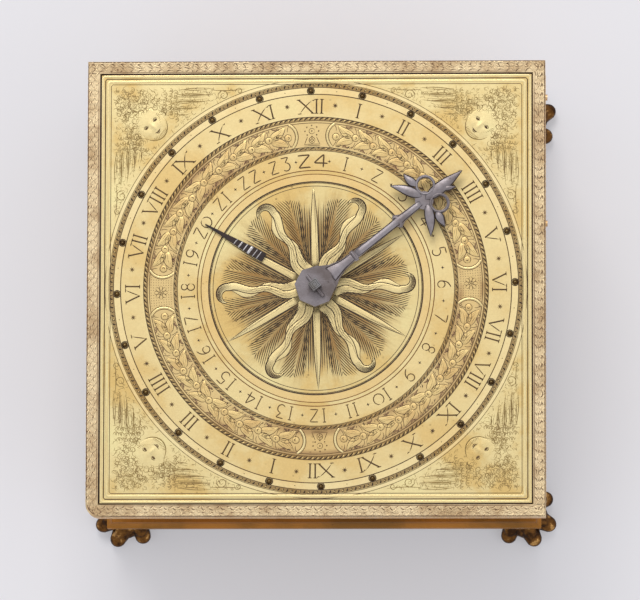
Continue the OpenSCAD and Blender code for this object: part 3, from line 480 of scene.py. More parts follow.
def sun_paint(tree, age, colour):
    """Brown on the disc: darkest near the middle and between ray and flame, none towards the edge. It is the
    engraving's brown ground, and near the middle also painted shade for the hub's shadow.
    """
    radius, angle = dial_place(tree)
    turned = math_of(tree, "SUBTRACT", angle, TURN)
    between = math_of(tree, "MULTIPLY_ADD", math_of(tree, "COSINE", times(tree, turned, 12.0)), -0.5, 0.5)
    colour = patches(tree, age.outputs["Clouds"], colour)
    across = times(tree, math_of(tree, "COSINE", angle), 26.0)
    along = times(tree, math_of(tree, "SINE", angle), 26.0)
    spokes = add(tree, "ShaderNodeCombineXYZ", {0: across, 1: along, 2: times(tree, radius, 0.12)}).outputs[0]
    streaks = noise(tree, spokes, 1.0, 3.0)
    reach = math_of(tree, "MULTIPLY_ADD", streaks, 9.0, times(tree, between, 2.5))
    fade = step_up(tree, math_of(tree, "SUBTRACT", radius, reach), 20.0, 7.0)
    # Near the middle this brown also serves as painted shade for the hub's shadow
    colour = mixed(tree, times(tree, fade, 0.76), colour, SUN_BROWN)
    return mixed(tree, times(tree, fade, step_up(tree, streaks, 0.42, 0.62, 0.0, 0.55)), colour, RAY_BROWN)


def rim_paint(tree, age, colour):
    """Painted shade: below its top the rim turns browner and darker, standing for the shade on its outer
    sides.
    """
    place = add(tree, "ShaderNodeTexCoord").outputs["Object"]
    height = math_of(tree, "DIVIDE", add(tree, "ShaderNodeSeparateXYZ", {0: place}).outputs[2], MM)
    below = step_up(tree, height, rim_top - 0.35, rim_top - 0.9)
    return mixed(tree, times(tree, below, 0.75), colour, SIDE_SHADE_BROWN)


def paw_paint(tree, age, colour):
    """Cast metal: spots rubbed bright that also serve as painted highlights, dark brown patches that also
    serve as painted shade, and painted shade towards its outline.
    """
    clouds = age.outputs["Clouds"]
    facing = add(tree, "ShaderNodeLayerWeight", {"Blend": 0.5}).outputs["Facing"]
    colour = mixed(tree, step_up(tree, clouds, 0.5, 0.6, 0.0, 0.85), colour, PAW_PATINA_AND_SHADE)
    colour = mixed(tree, step_up(tree, clouds, 0.44, 0.37, 0.0, 0.75), colour, PAW_WEAR_AND_HIGHLIGHT)
    return mixed(tree, step_up(tree, facing, 0.25, 0.7, 0.0, 0.9), colour, PAW_OUTLINE_SHADE)


# Finishes: plain colour, worn colour, colour of the pits, and what differs from the usual
FINISHES = {
    "aged_gilt": (tone(206, 168, 96), tone(178, 132, 70), PATINA, dict(rough=0.4, clouds=45.0)),
    "dial_gilt": (GILT, WORN_GILT, PATINA, dict(rough=0.46, metallic=0.7, pits=0.35, paint=dial_paint)),
    "disc_gilt": (SUN_GILT, WORN_GILT, PATINA, dict(rough=0.44, metallic=0.7, paint=sun_paint)),
    "raised_gilt": (tone(228, 205, 146), GILT, PATINA, dict(rough=0.4, metallic=0.7, pits=0.2)),
    "rim_gilt": (
        PINK_GILT, tone(184, 156, 116), tone(120, 88, 60),
        dict(rough=0.48, metallic=0.6, clouds=140.0, pits=0.9, bump=0.5, paint=rim_paint),
    ),
    "base_gilt": (tone(176, 116, 46), tone(138, 94, 38), tone(96, 62, 34), dict(rough=0.36, clouds=50.0)),
    "paw_gilt": (
        tone(118, 78, 34), tone(80, 50, 22), tone(44, 26, 12),
        dict(rough=0.3, metallic=0.9, clouds=300.0, grain=900.0, bump=0.9, paint=paw_paint),
    ),
    "cut_brown": (tone(98, 72, 34), tone(78, 54, 30), DEEP, dict(rough=0.55, metallic=0.3, clouds=150.0)),
    "hatch_brown": (tone(40, 28, 12), tone(58, 42, 22), DEEP, dict(rough=0.55, metallic=0.3, clouds=150.0)),
    "cut_light": (
        tone(152, 128, 74), tone(132, 106, 60), PATINA,
        dict(rough=0.5, metallic=0.45, clouds=150.0),
    ),
    "cut_amber": (tone(128, 84, 36), tone(104, 70, 32), PATINA, dict(rough=0.5, metallic=0.5, clouds=150.0)),
    "leaf_gilt": (
        tone(222, 196, 134), tone(208, 176, 116), VIOLET_BROWN,
        dict(rough=0.46, metallic=0.65, clouds=160.0, pits=0.6),
    ),
    "shade_brown": (tone(124, 88, 62), tone(100, 68, 46), DEEP, dict(rough=0.55, metallic=0.3, clouds=150.0)),
    "cut_dark": (tone(52, 36, 18), tone(74, 48, 30), DEEP, dict(rough=0.6, metallic=0.2, clouds=150.0)),
    "pin_bronze": (tone(92, 68, 32), tone(66, 46, 20), DEEP, dict(rough=0.34, metallic=0.8, clouds=300.0)),
    "pale_steel": (
        tone(146, 139, 142), tone(118, 109, 110), tone(60, 48, 38),
        dict(rough=0.42, metallic=0.6, clouds=160.0, pits=0.6, bump=0.4),
    ),
    "hand_steel": (
        tone(143, 135, 137), tone(108, 98, 96), tone(60, 48, 38),
        dict(rough=0.36, metallic=0.75, clouds=120.0, pits=0.6, bump=0.4),
    ),
    "black_steel": (
        tone(44, 36, 36), tone(60, 46, 38), tone(16, 12, 10),
        dict(rough=0.36, metallic=0.5, clouds=200.0),
    ),
    "silver_band": (
        tone(206, 202, 200), tone(150, 144, 142), tone(70, 62, 58),
        dict(rough=0.35, metallic=0.7, clouds=300.0),
    ),
    "wheel_brass": (
        tone(206, 166, 92), tone(182, 138, 72), PATINA,
        dict(rough=0.34, metallic=0.9, clouds=90.0, grain=2600.0),
    ),
    "plate_brass": (
        tone(198, 158, 88), tone(170, 130, 70), PATINA,
        dict(rough=0.4, metallic=0.9, clouds=50.0),
    ),
    "arbor_steel": (
        tone(150, 148, 148), tone(120, 116, 112), tone(56, 48, 42),
        dict(rough=0.3, metallic=0.95, clouds=200.0),
    ),
    "spring_steel": (
        tone(84, 88, 104), tone(98, 90, 84), tone(36, 32, 34),
        dict(rough=0.28, metallic=0.95, clouds=160.0),
    ),
    "bell_bronze": (
        tone(186, 158, 108), tone(150, 122, 78), tone(74, 56, 36),
        dict(rough=0.3, metallic=0.95, clouds=60.0),
    ),
    "gut_cord": (
        tone(206, 176, 122), tone(176, 142, 90), tone(110, 82, 48),
        dict(rough=0.55, metallic=0.0, clouds=300.0, bump=0.6),
    ),
}
finish = {name: metal(name, *colours, **unusual) for name, (*colours, unusual) in FINISHES.items()}

# The finish of each CAD node; all the others are wheels and pinions of brass
WEARS = {
    "paw_gilt": "feet",
    "base_gilt": "base_moulding",
    "dial_gilt": "dial_plate",
    "pin_bronze": "touch_pins",
    "disc_gilt": "alarm_disc",
    "black_steel": "alarm_pointer",
    "hand_steel": "hour_hand hand_pin",
    "bell_bronze": "bell",
    "gut_cord": "gut_line",
    "aged_gilt": "base_door door_latch top_frame wall_front wall_back wall_left wall_right",
    "rim_gilt": "rim_front rim_back rim_left rim_right rim_pins",
    "plate_brass": (
        "front_plate back_plate pillars potences balance_cock "
        "going_barrel strike_barrel alarm_barrel"
    ),
    "spring_steel": "going_spring strike_spring ratchet_clicks",
    "arbor_steel": (
        "hour_arbor taper_pins cock_screw bell_stud barrel_arbor hinge_pins setting_pinion second_arbor "
        "verge strike_arbor alarm_arbor strike_hammer detent_lever alarm_hammer dial_feet"
    ),
}
finish_of = {node: name for name, nodes in WEARS.items() for node in nodes.split()}
for node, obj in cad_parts.items():
    for material_slot in obj.material_slots:
        material_slot.material = finish[finish_of.get(node, "wheel_brass")]

# All scattered strokes come from this generator, so the order of its calls is part of the look
rng = np.random.default_rng(24)

# Lines round the dial: radius and width of each cut
FINE_RINGS = (
    (36.25, 0.28), (37.2, 0.32), (43.6, 0.3), (44.15, 0.26), (45.15, 0.3),
    (51.15, 0.42), (53.0, 0.36), (54.25, 0.22), (55.2, 0.24),
)
AMBER_RINGS = ((30.05, 0.36), (31.05, 0.42))
DARK_RINGS = ((28.05, 0.5),)
for name, rings, look in (
    ("dial_ring_lines", FINE_RINGS, "cut_brown"),
    ("dial_ring_amber_lines", AMBER_RINGS, "cut_amber"),
    ("dial_ring_dark_lines", DARK_RINGS, "cut_dark"),
):
    engraved(name, [ring_cut(circle(r * scale), w) for r, w in rings], plate_top, FAINT, look)


def rope(radius, height, count, lean):
    """A twisted border: count short bowed strokes that lean across a ring from edge to edge."""
    step = 2 * math.pi * radius / count
    reach = 0.42 * step * lean
    stroke = bow((-reach, -height / 2), (reach, height / 2), step * 0.14, 6)
    return wrap(copies([stroke], np.arange(count) * step, 0.0, 0.0), radius, 0.0)


def links(radius, count, reach, width):
    """The pale links of a twisted border, each halfway between two dark strokes."""
    at = (np.arange(count) + 0.5) * 2 * math.pi * radius / count
    link = bow((-reach, -reach * 0.8), (reach, reach * 0.8), 0.1, 6)
    return cut(wrap(copies([link], at, 0, 0), radius, 0.0), width, 0.5)


ropes = [
    cut(rope(OUTER_ROPE_R, 0.9, 210, 1.2), 0.42, 0.4),
    cut(rope(INNER_ROPE_R, 0.7, 170, 1.2), 0.36, 0.5),
    cut(rope(PIN_ROPE_R, 0.9, 300, 0.5), 0.5, 0.3),
]
engraved("rope_borders", ropes, plate_top, BOLD, "hatch_brown")
cords = [
    links(OUTER_ROPE_R, 210, 0.3, 0.3),
    links(INNER_ROPE_R, 95, 0.26, 0.24),
    links(PIN_ROPE_R, 150, 0.16, 0.3),
]
engraved("rope_cords", cords, plate_top, BEADED, "leaf_gilt", BEAD)

# A dark ring round each touch pin, a painted highlight on its top, and painted shade in the gap at the
# plate's edge
PIN_R = 0.78 * scale
SOCKET_R = 0.94 * scale
pin_turns = math.pi / 2 + TURN + np.arange(24) * HOUR
pin_x = (pin_high[1] - PIN_R) * np.cos(pin_turns)
pin_y = (pin_high[1] - PIN_R) * np.sin(pin_turns)
# Painted highlight: a pale bead on each pin's top
pin_highlights = copies([line((-0.22, 0), (0.22, 0))], pin_x, pin_y, 0.6)
engraved("pin_highlights", [cut(pin_highlights, 0.36, 0.5)], pin_high[2], FAINT, "cut_light", BEAD)
pin_rings = [ring_cut(circle(SOCKET_R, 20, x, y), 0.34) for x, y in zip(pin_x, pin_y)]
engraved("pin_sockets", pin_rings, plate_top, BOLD, "cut_dark")
# Painted shade in the gap between plate and rim, wider along the left and top
EDGE_SHADE_RISE = 0.02
edge = plate_half - 0.08
wide_gaps = [line((-edge, edge), (edge, edge), 9), line((-edge, -edge), (-edge, edge), 9)]
slim_gaps = [line((edge, -edge), (edge, edge), 9), line((-edge, -edge), (edge, -edge), 9)]
edge_gap_shade = [cut(wide_gaps, 0.46, 0.0), cut(slim_gaps, 0.3, 0.0)]
engraved("edge_gap_shade", edge_gap_shade, plate_top, EDGE_SHADE_RISE, "cut_dark", BAND)


# Numerals: strokes in a box one high, x to the right and y outwards
def serif(x, y, half=0.17):
    """A short level stroke at the end of a thick or thin one."""
    return line((x - half, y), (x + half, y))


def roman(word):
    """Thick and thin strokes of a Roman numeral, centred.

    I is one thick stroke, V a thick and a thin one that meet, and X a thick and a thin one that cross.
    """
    wide = {"I": 0.37, "V": 1.0, "X": 1.12}
    x = -sum(wide[c] for c in word) / 2
    thick, thin = [], []
    for c in word:
        w = wide[c]
        lo, hi = x + 0.08, x + w - 0.08
        if c == "I":
            thick.append(line((x + w / 2, -0.5), (x + w / 2, 0.5)))
            thin += [serif(x + w / 2, -0.5), serif(x + w / 2, 0.5)]
        elif c == "V":
            thick.append(line((lo, 0.5), ((lo + hi) / 2, -0.5)))
            thin += [line((hi, 0.5), ((lo + hi) / 2, -0.5)), serif(lo, 0.5), serif(hi, 0.5)]
        else:
            thick.append(line((lo, 0.5), (hi, -0.5)))
            thin.append(bow((lo, -0.5), (hi, 0.46), 0.05, 5))
            thin += [serif(a, b) for a, b in ((lo, 0.5), (lo, -0.5), (hi, -0.5))]
            thin.append(bow((hi - 0.05, 0.44), (hi + 0.14, 0.5), -0.06, 5))
        x += w
    return thick, thin


ROMAN = ["XII", "I", "II", "III", "IIII", "V", "VI", "VII", "VIII", "IX", "X", "XI"]
thick_strokes, thin_strokes = [], []
for hour in range(24):
    thick, thin = roman(ROMAN[hour % 12])
    for kept, made in ((thick_strokes, thick), (thin_strokes, thin)):
        kept.append(wrap(copies(made, 0, 0, 0, ROMAN_H), ROMAN_R, hour * HOUR))
roman_cuts = [cut(np.concatenate(thick_strokes), 0.56, 0.0), cut(np.concatenate(thin_strokes), 0.36, 0.12)]
engraved("roman_hours", roman_cuts, plate_top, BOLD, "cut_brown")


def at_half_hours(motif, radius):
    """A motif repeated halfway between the hours."""
    return np.concatenate([wrap(motif, radius, (hour + 0.5) * HOUR) for hour in range(24)])


def cross(reach, turns):
    """Straight strokes through a middle, one for each turn in degrees."""
    ways = [np.array([reach * math.cos(a), reach * math.sin(a)]) for a in np.radians(turns)]
    return [line(-way, way) for way in ways]


stars = at_half_hours(cross(0.8, [20, 65, 110, 155]), STAR_R)
engraved("half_hour_stars", [cut(stars, 0.3, 0.4)], plate_top, BOLD, "cut_brown")


def bar(x0, y0, x1, y1):
    """A straight stroke of a figure, with as many points as a curled one."""
    return line((x0, y0), (x1, y1), MORE)


# Figures of the alarm ring: each is a few open strokes in a box one high
FIGURES = {
    "0": [curl(0, 0, 0.4, 0.4, 90, 450)],
    "1": [bar(0, 0.5, 0, -0.5), bar(-0.13, 0.48, 0.13, 0.48), bar(-0.13, -0.48, 0.13, -0.48)],
    "2": [bar(-0.3, 0.45, 0.3, 0.45), bar(0.3, 0.45, -0.3, -0.45), bar(-0.3, -0.45, 0.34, -0.45)],
    "3": [bar(-0.28, 0.5, 0.26, 0.5), bar(0.26, 0.5, -0.02, 0.12), curl(0.0, -0.18, 0.3, 0.3, 95, -150)],
    "4": [bar(0.12, -0.5, 0.12, 0.5), bar(0.12, 0.5, -0.36, -0.15), bar(-0.36, -0.15, 0.36, -0.15)],
    "5": [bar(0.28, 0.5, -0.18, 0.5), bar(-0.18, 0.5, -0.22, 0.08), curl(-0.02, -0.17, 0.3, 0.31, 130, -150)],
    "6": [curl(0.0, -0.2, 0.27, 0.27, 0, 360), bow((0.24, 0.5), (-0.27, -0.16), -0.14, MORE)],
    "7": [bar(-0.3, 0.48, 0.3, 0.48), bar(0.3, 0.48, -0.12, -0.5)],
    "8": [curl(0.0, 0.25, 0.22, 0.22, 0, 360), curl(0.0, -0.23, 0.27, 0.27, 0, 360)],
    "9": [curl(0.0, 0.2, 0.27, 0.27, 0, 360), bow((-0.24, -0.5), (0.27, 0.16), -0.14, MORE)],
}
figure_strokes, heavy_strokes = [], []
for hour in range(1, 25):
    word = str(hour)
    last = hour == 24
    spread = 1.25 if last else sum(0.52 if c == "1" else 0.92 for c in word) / 2
    widen = np.array([1.45 if last else 0.96, 1.0])
    for place, c in enumerate(word):
        shift = np.array([(place - (len(word) - 1) / 2) * spread * FIGURE_H, 0.0])
        made = copies(FIGURES[c], 0, 0, 0, FIGURE_H) * widen + shift
        (heavy_strokes if last else figure_strokes).append(wrap(made, FIGURE_R, hour * HOUR))
figure_cuts = [
    cut(np.concatenate(figure_strokes), 0.42, 0.12),
    cut(np.concatenate(heavy_strokes), 0.56, 0.05),
]
engraved("alarm_figures", figure_cuts, plate_top, BOLD, "cut_brown")
dots = at_half_hours([line((0, -0.5), (0, 0.5)), line((-0.5, 0), (0.5, 0))], FIGURE_R)
track_dots = at_half_hours([line((-0.16, 0), (0.16, 0))], TRACK_R)
dot_cuts = [cut(dots, 0.4, 0.9), cut(track_dots, 0.32, 0.4)]
engraved("alarm_ring_dots", dot_cuts, plate_top, BOLD, "cut_dark")


# Scrolls
def leaf_outline(x, y, turn, length, width):
    """Two bowed strokes that meet at the tip, and a vein between them."""
    edges = [bow((0, 0), (length, 0), s * width / 2) for s in (1, -1)]
    return copies(edges + [line((0.1 * length, 0), (0.7 * length, 0), FEW)], x, y, turn)


def scroll(length, waves, reach):
    """A running scroll along x, on the stem y = 0.34 reach sin(pi x / step).

    Each half wave holds a spiral whose radius shrinks to 0.3 of itself in 450 degrees, with leaves round it.
    Returns the long strokes, the leaves and the places of the flowers in the spirals.
    """
    step = length / waves
    points = 16 * waves
    x = np.linspace(-length / 2, length / 2, points)
    long = [np.stack([x, reach * 0.34 * np.sin(np.pi * (x + length / 2) / step)], axis=-1)]
    short, flowers = [], []
    r = min(reach * 0.72, step * 0.44)
    for i in range(waves):
        side = 1 if i % 2 else -1
        cx = -length / 2 + (i + 0.5) * step
        cy = side * reach * 0.12
        long += list(copies([curl(0, 0, r, r * 0.3, 150, -300, points)], cx, cy, 0.0, 1.0, side))
        flowers.append((cx, cy))
        for a in range(0, 360, 45):
            turn = math.radians(a * side + 18)
            out = r * (0.95 + 0.1 * math.cos(2 * turn))
            px, py = cx + out * math.cos(turn), cy + out * math.sin(turn)
            room = reach - abs(py)
            if room > 0.12 * reach:
                short += list(leaf_outline(px, py, turn + 0.7 * side, min(r * 0.62, room * 1.5), r * 0.3))
    return np.array(long), np.array(short), np.array(flowers)


def flower(r):
    """A small round flower: a ring, a dot and five bowed petal lines."""
    made = [curl(0, 0, r, r, 0, 360, SOME), curl(0, 0, r * 0.22, r * 0.22, 0, 360, SOME)]
    for a in np.arange(5) * 2 * math.pi / 5:
        way = np.array([r * math.cos(a), r * math.sin(a)])
        made.append(bow(0.3 * way, 0.95 * way, r * 0.2, SOME))
    return made


def berry(r):
    """A round berry: a ring, and a comma-shaped mark in its middle."""
    return [curl(0, 0, r, r, 0, 360, SOME), curl(0.05 * r, 0.0, 0.34 * r, 0.2 * r, -120, 130, SOME)]


BERRY_R = 0.98
GARLAND_STEP = 5.1
TICKS = 140


def garland(length):
    """A laurel garland along x, in steps, which turns round at its middle so that both ends look alike.

    At each step two pointed leaves spring from the stem and lean forward to the edges, a smaller one runs
    between them under a berry, and dark forks fill the gaps along both edges. Returns middle lines of leaves
    and of small leaves, stalks, forks and the places of the berries.
    """
    count = int(length / GARLAND_STEP / 2)
    x = np.arange(count) * GARLAND_STEP
    side = np.where(np.arange(count) % 2, 1.0, -1.0)
    leaves = copies([bow((0.3, s * 0.5), (4.9, s * 2.75), -s * 0.5, SOME) for s in (-1, 1)], x, 0, 0)
    small = copies([bow((1.1, 0.1), (4.2, 0.2), 0.25, SOME)], x, 0, 0)
    stalks = [bow((5.6, -2.9), (4.9, -0.8), 0.2, SOME), bow((5.9, 2.9), (5.2, 1.2), -0.2, SOME)]
    forks = [
        line((1.3 + 0.34 * j, s * 3.0), (1.9 + 0.16 * j, s * (1.9 + 0.18 * abs(j - 3))), SOME)
        for j in range(6)
        for s in (-1, 1)
    ]
    berries = np.stack([x + GARLAND_STEP, 0.3 * side], axis=-1)
    flip = np.array([-1.0, 1.0])
    halves = (leaves, small, copies(stalks, x, 0, 0), copies(forks, x, 0, 0))
    whole = [np.concatenate([half, half * flip]) for half in halves]
    return whole + [np.concatenate([berries, berries * flip, [[0.0, 0.0]]])]


leaf_lines, small_lines, fork_lines, berry_marks, berry_bodies = [], [], [], [], []
band_long, band_short, band_flowers, band_fill = [], [], [], []
GARLAND_LENGTH = math.radians(74) * BAND_R
for quarter in range(4):
    at = math.pi / 4 + QUARTERS[quarter]
    leaves, small, stalks, forks, berries = garland(GARLAND_LENGTH)
    marks = copies(berry(BERRY_R), berries[:, 0], berries[:, 1], 0)
    bodies = copies([line((-BERRY_R, 0), (BERRY_R, 0), SOME)], berries[:, 0], berries[:, 1], 0)
    x = rng.uniform(-GARLAND_LENGTH / 2, GARLAND_LENGTH / 2, TICKS)
    y = np.where(rng.random(TICKS) < 0.6, rng.uniform(-2.95, -2.2, TICKS), rng.uniform(2.2, 2.95, TICKS))
    ticks = copies([line((-0.4, 0), (0.4, 0), 4)], x, y, rng.uniform(0.5, 1.4, TICKS))
    for kept, made in (
        (leaf_lines, leaves),
        (small_lines, small),
        (fork_lines, forks),
        (band_flowers, stalks),
        (berry_marks, marks),
        (berry_bodies, bodies),
        (band_fill, ticks),
    ):
        kept.append(wrap(made, BAND_R, at))

# Medallions at the quarters: two facing arcs, with a knotted strap or a rosette between
ARC_AT, ARC_R, ARC_WIDTH = 7.85, 3.85, 0.8
LONG_POINTS = 128
arc_beads = []
for quarter in range(4):
    at = QUARTERS[quarter]
    for side in (-1, 1):
        facing = 180 if side > 0 else 0
        arcs = [
            curl(side * ARC_AT, 0, r, r, facing - 58, facing + 58, LONG_POINTS)
            for r in (ARC_R - ARC_WIDTH / 2, ARC_R + ARC_WIDTH / 2)
        ]
        band_long.append(wrap(arcs, BAND_R, at))
        bead = curl(side * ARC_AT, 0, ARC_R, ARC_R, facing - 56, facing + 56, 40)
        arc_beads.append(wrap([bead], BAND_R, at))
    if quarter % 2 == 0:
        bars = [line((-2.3, y), (2.3, y), LONG_POINTS) for y in (-2.55, -2.95)]
        bars += [line((s * 2.1, -2.5), (s * 1.2, -0.6), LONG_POINTS) for s in (-1, 1)]
        bars.append(curl(0, -1.5, 0.8, 0.8, 0, 360, LONG_POINTS))
        band_long.append(wrap(bars, BAND_R, at))
        a = np.arange(8) * math.pi / 4
        at_x = np.concatenate([1.75 * np.cos(a), [0, 0, 0, -0.4, 0.4]])
        at_y = np.concatenate([0.9 + 1.45 * np.sin(a), [0.9, -1.2, -1.9, -1.5, -1.5]])
        knots = copies([curl(0, 0, 0.2, 0.06, 0, 500, SOME)], at_x, at_y, 0)
        band_flowers.append(wrap(knots, BAND_R, at))
        band_flowers.append(wrap([curl(0, 0.9, 0.75, 0.75, 0, 360, SOME)], BAND_R, at))
    else:
        ways = [np.array([math.cos(a), math.sin(a)]) for a in np.arange(8) * math.pi / 4]
        petals = [bow(0.5 * way, 1.9 * way, s * 0.45) for way in ways for s in (-1, 1)]
        band_short.append(wrap(petals, BAND_R, at))
        band_flowers.append(wrap(flower(0.6), BAND_R, at))
        x, y = (v.ravel() for v in np.meshgrid(np.arange(-5.2, 5.3, 0.65), np.arange(-2.6, 2.7, 0.65)))
        keep = (np.hypot(x, y) > 2.0) & (np.hypot(np.abs(x) - ARC_AT, y) > 4.5)
        ticks = copies([line((-0.15, 0), (0.15, 0), 4)], x[keep], y[keep], 0)
        band_fill.append(wrap(ticks, BAND_R, at))

leaf_body = cut(np.concatenate(leaf_lines), 2.3, 0.75, 0.3)
small_body = cut(np.concatenate(small_lines), 1.1, 0.8, 0.2)
leaf_middle, leaf_half, _ = leaf_body
leaf_sides = [beside(path, half, s) for path, half, _ in (leaf_body, small_body) for s in (-1, 1)]
leaf_hatch = [beside(leaf_middle, leaf_half, s)[:, a : a + 4] for s, a in ((-0.5, 2), (0.45, 5))]
band_cuts = [
    cut(np.concatenate(band_long), 0.26, 0.2),
    cut(np.concatenate(band_short), 0.22, 0.5),
    cut(np.concatenate(band_flowers), 0.22, 0.15),
    cut(np.concatenate(leaf_sides), 0.26, 0.25),
    cut(leaf_middle[:, :8], 0.14, 0.4),
    cut(np.concatenate(leaf_hatch), 0.13, 0.4),
]
engraved("garland_leaves", [leaf_body, small_body], plate_top, LEAF_RISE, "leaf_gilt", BAND)
berry_cuts = [cut(np.concatenate(berry_bodies), 1.8, 0.5)]
engraved("garland_berries", berry_cuts, plate_top, BERRY_RISE, "leaf_gilt", BAND)
berry_marks = np.concatenate(berry_marks)
mark_widths = np.tile([0.24, 0.42], len(berry_marks) // 2)
mark_cuts = [cut(berry_marks, mark_widths, 0.15)]
engraved("berry_marks", mark_cuts, plate_top + 0.01, BOLD, "cut_brown", sink=0.04)
engraved("garland_forks", [cut(np.concatenate(fork_lines), 0.3, 0.5)], plate_top, FAINT, "shade_brown")
arc_cuts = [cut(np.concatenate(arc_beads), 0.62, 0.1)]
engraved("medallion_arcs", arc_cuts, plate_top, BEADED, "raised_gilt", BEAD)
engraved("scroll_band", band_cuts, plate_top, CLEAR, "cut_brown")
engraved("scroll_band_ground", [cut(np.concatenate(band_fill), 0.26, 0.4)], plate_top, FAINT, "cut_dark")


# Square lines and low beads along the plate's edge
def square_path(half, n=24, corner=0.4):
    """A closed square with cut corners, n points a side."""
    along = np.linspace(-1, 1, n) * (half - corner)
    across = np.full(n, half)
    sides = [(across * c - along * s, across * s + along * c) for c, s in ((1, 0), (0, 1), (-1, 0), (0, -1))]
    return np.concatenate([np.stack(side, axis=-1) for side in sides])


def square_cuts(half, lines):
    """Squares inside a half width, from the distance and width of each line."""
    return [ring_cut(square_path(half - inset), width) for inset, width in lines]


edge_lines = square_cuts(plate_half, ((1.25, 0.44), (2.75, 0.26)))
engraved("plate_edge_lines", edge_lines, plate_top, CLEAR, "cut_brown")
edge_beads = square_cuts(plate_half, ((0.55, 0.7), (2.0, 0.85)))
engraved("plate_edge_beads", edge_beads, plate_top, EDGE_RISE, "raised_gilt", BEAD)

# Winged child's heads in the corners, in the corner's own directions: w towards the corner, u across it
FACE_HALF, FACE_LONG, FACE_SIZE = 4.5, 5.4, 0.86


def corner_place(paths):
    """From (u, w) about the head to the dial's quarter between +x and +y, the first of the four corners."""
    return copies(paths, HEAD_AT * math.cos(math.pi / 4), HEAD_AT * math.sin(math.pi / 4), -math.pi / 4)


chin = curl(0, 0, FACE_LONG, FACE_LONG, 200, 340, MANY) * np.array([FACE_HALF / FACE_LONG, 1.0])
ears = [curl(s * 4.7, -0.4, 0.9, 0.7, 90, 90 - 180 * s, MANY) for s in (-1, 1)]
brows = [bow((s * 1.0, 0.2), (s * 2.7, 0.2), s * 0.5, MANY) for s in (-1, 1)]
nose = [bow((0.45, 0.3), (0.55, -1.7), -0.15, MANY), bow((-0.6, -1.75), (0.6, -1.75), -0.3, MANY)]
mouth = [
    bow((-half, w), (half, w), lift, MANY)
    for half, w, lift in ((1.2, -2.8, -0.22), (0.9, -2.95, -0.25), (0.7, -3.25, -0.3))
]
eyes = [line((s * 1.0, 0.1), (s * 2.5, 0.02), MANY) for s in (-1, 1)]
chin_shade = [
    bow((u, -5.0 + 0.06 * u * u), (u + 0.55, -3.9 + 0.05 * u * u), 0.08, MANY)
    for u in np.arange(-2.6, 2.4, 0.5)
]
cheek_shade = [
    bow((3.95 - 0.05 * i * i, 1.4 - 0.55 * i), (3.1 - 0.04 * i * i, 1.1 - 0.5 * i), 0.1, MANY)
    for i in range(8)
]
nose_shade = [bow((0.75, 0.35 - 0.3 * i), (0.4, 0.2 - 0.3 * i), 0.03, MANY) for i in range(5)]


def hair_strokes(count=420):
    """Curly hair: open arcs of about 0.6 mm radius and of any turn round the head, with spirals among them.

    They are scattered evenly, without those on the face or outside an outline that narrows outwards.
    """
    w = rng.uniform(-2.5, 13.5, count)
    u = rng.uniform(-7.8, 7.8, count)
    off_face = np.hypot(u / (FACE_HALF + 0.1), (w + 0.9) / (FACE_LONG - 0.9)) > FACE_SIZE
    keep = off_face & (np.abs(u) < 7.4 - 0.36 * w)
    w, u = w[keep], u[keep]
    flip = np.where(rng.random(len(u)) > 0.5, 1, -1)
    size = rng.uniform(0.8, 1.4, len(u))
    open_curl = rng.random(len(u)) > 0.15
    turn = rng.uniform(0, 2 * math.pi, len(u))
    kinds = (
        (curl(0, 0, 0.62, 0.5, -100, 110, MANY), open_curl),
        (curl(0, 0, 0.6, 0.14, 0, 500, MANY), ~open_curl),
    )
    return np.concatenate([copies([arc], u[k], w[k], turn[k], size[k], flip[k]) for arc, k in kinds])


curls = hair_strokes()


# The feathers' tips lie just outside this radius
WING_RING = 56.4


def feathers():
    """One wing along the top edge, in dial millimetres, as thick strokes, thin strokes and scales.

    Long bowed feathers lie side by side, each with a thick edge and thin shafts. Covering feathers lie as
    scales near the head, and spirals run on past the tips.
    """
    rows = np.linspace(43.6, 52.3, 11)
    tips = np.clip(np.sqrt(np.maximum(WING_RING**2 - rows**2, 1)) + 0.8, 27.0, 40)
    roots = 38.6 - 0.75 * np.abs(rows - 49.0) ** 0.9
    thick, thin, scales = [], [], []
    for i, (y, tip, root) in enumerate(zip(rows, tips, roots)):
        if root - tip > 1.2:
            thick.append(bow((root, y), (tip, y + 0.5 - 0.5 * (i % 2)), 0.45 if i % 2 else -0.35, MANY))
        if root - tip > 2.6:
            for j, lift in enumerate((0.25, -0.25)):
                shaft_end = (tip + 1.4 * j + 0.6, y + 0.45 + 0.2 * j)
                thin.append(bow((root - 0.5, y + 0.3 + 0.25 * j), shaft_end, lift, MANY))
    one_scale = [curl(0, 0, 0.8, 0.7, 80, 290, FEW)]
    one_scale += [line((-0.7, -0.1), (0.3, 0), FEW), line((-0.6, 0.25), (0.1, 0.2), FEW)]
    for j, x in enumerate((37.4, 38.8, 40.2)):
        y = np.arange(44.6 + 0.7 * (j % 2) + j * 1.2, 52.2, 1.4)
        scales.append(copies(one_scale, x - 0.12 * np.abs(y - 49), y, 0.0))
    spirals = [curl(24.4, 51.0, 1.6, 0.3, -60, 520, MANY), curl(20.2, 52.1, 0.9, 0.2, 0, 440, MANY)]
    spirals.append(bow((27.5, 52.4), (18.5, 52.7), 0.3, MANY))
    spirals += [bow((23.0, 51.4), (19.0 - 0.4 * j, 51.9 - 0.3 * j), 0.3 - 0.25 * j, MANY) for j in (0, 1)]
    return np.array(thick + spirals), np.array(thin), np.concatenate(scales)


def both(paths):
    """A wing and its mirror image over the corner's diagonal."""
    return np.concatenate([paths, paths[..., ::-1]])


def four(paths):
    """The same in all four corners."""
    return np.concatenate([copies(paths, 0, 0, a, scale) for a in QUARTERS])


def within(paths, inner=55.7, edge=52.9):
    """Keeps strokes whose middle lies outside the dial's last ring and inside the square line."""
    mid = paths.mean(axis=1)
    return paths[(np.hypot(mid[:, 0], mid[:, 1]) > inner) & (np.abs(mid).max(axis=1) < edge)]


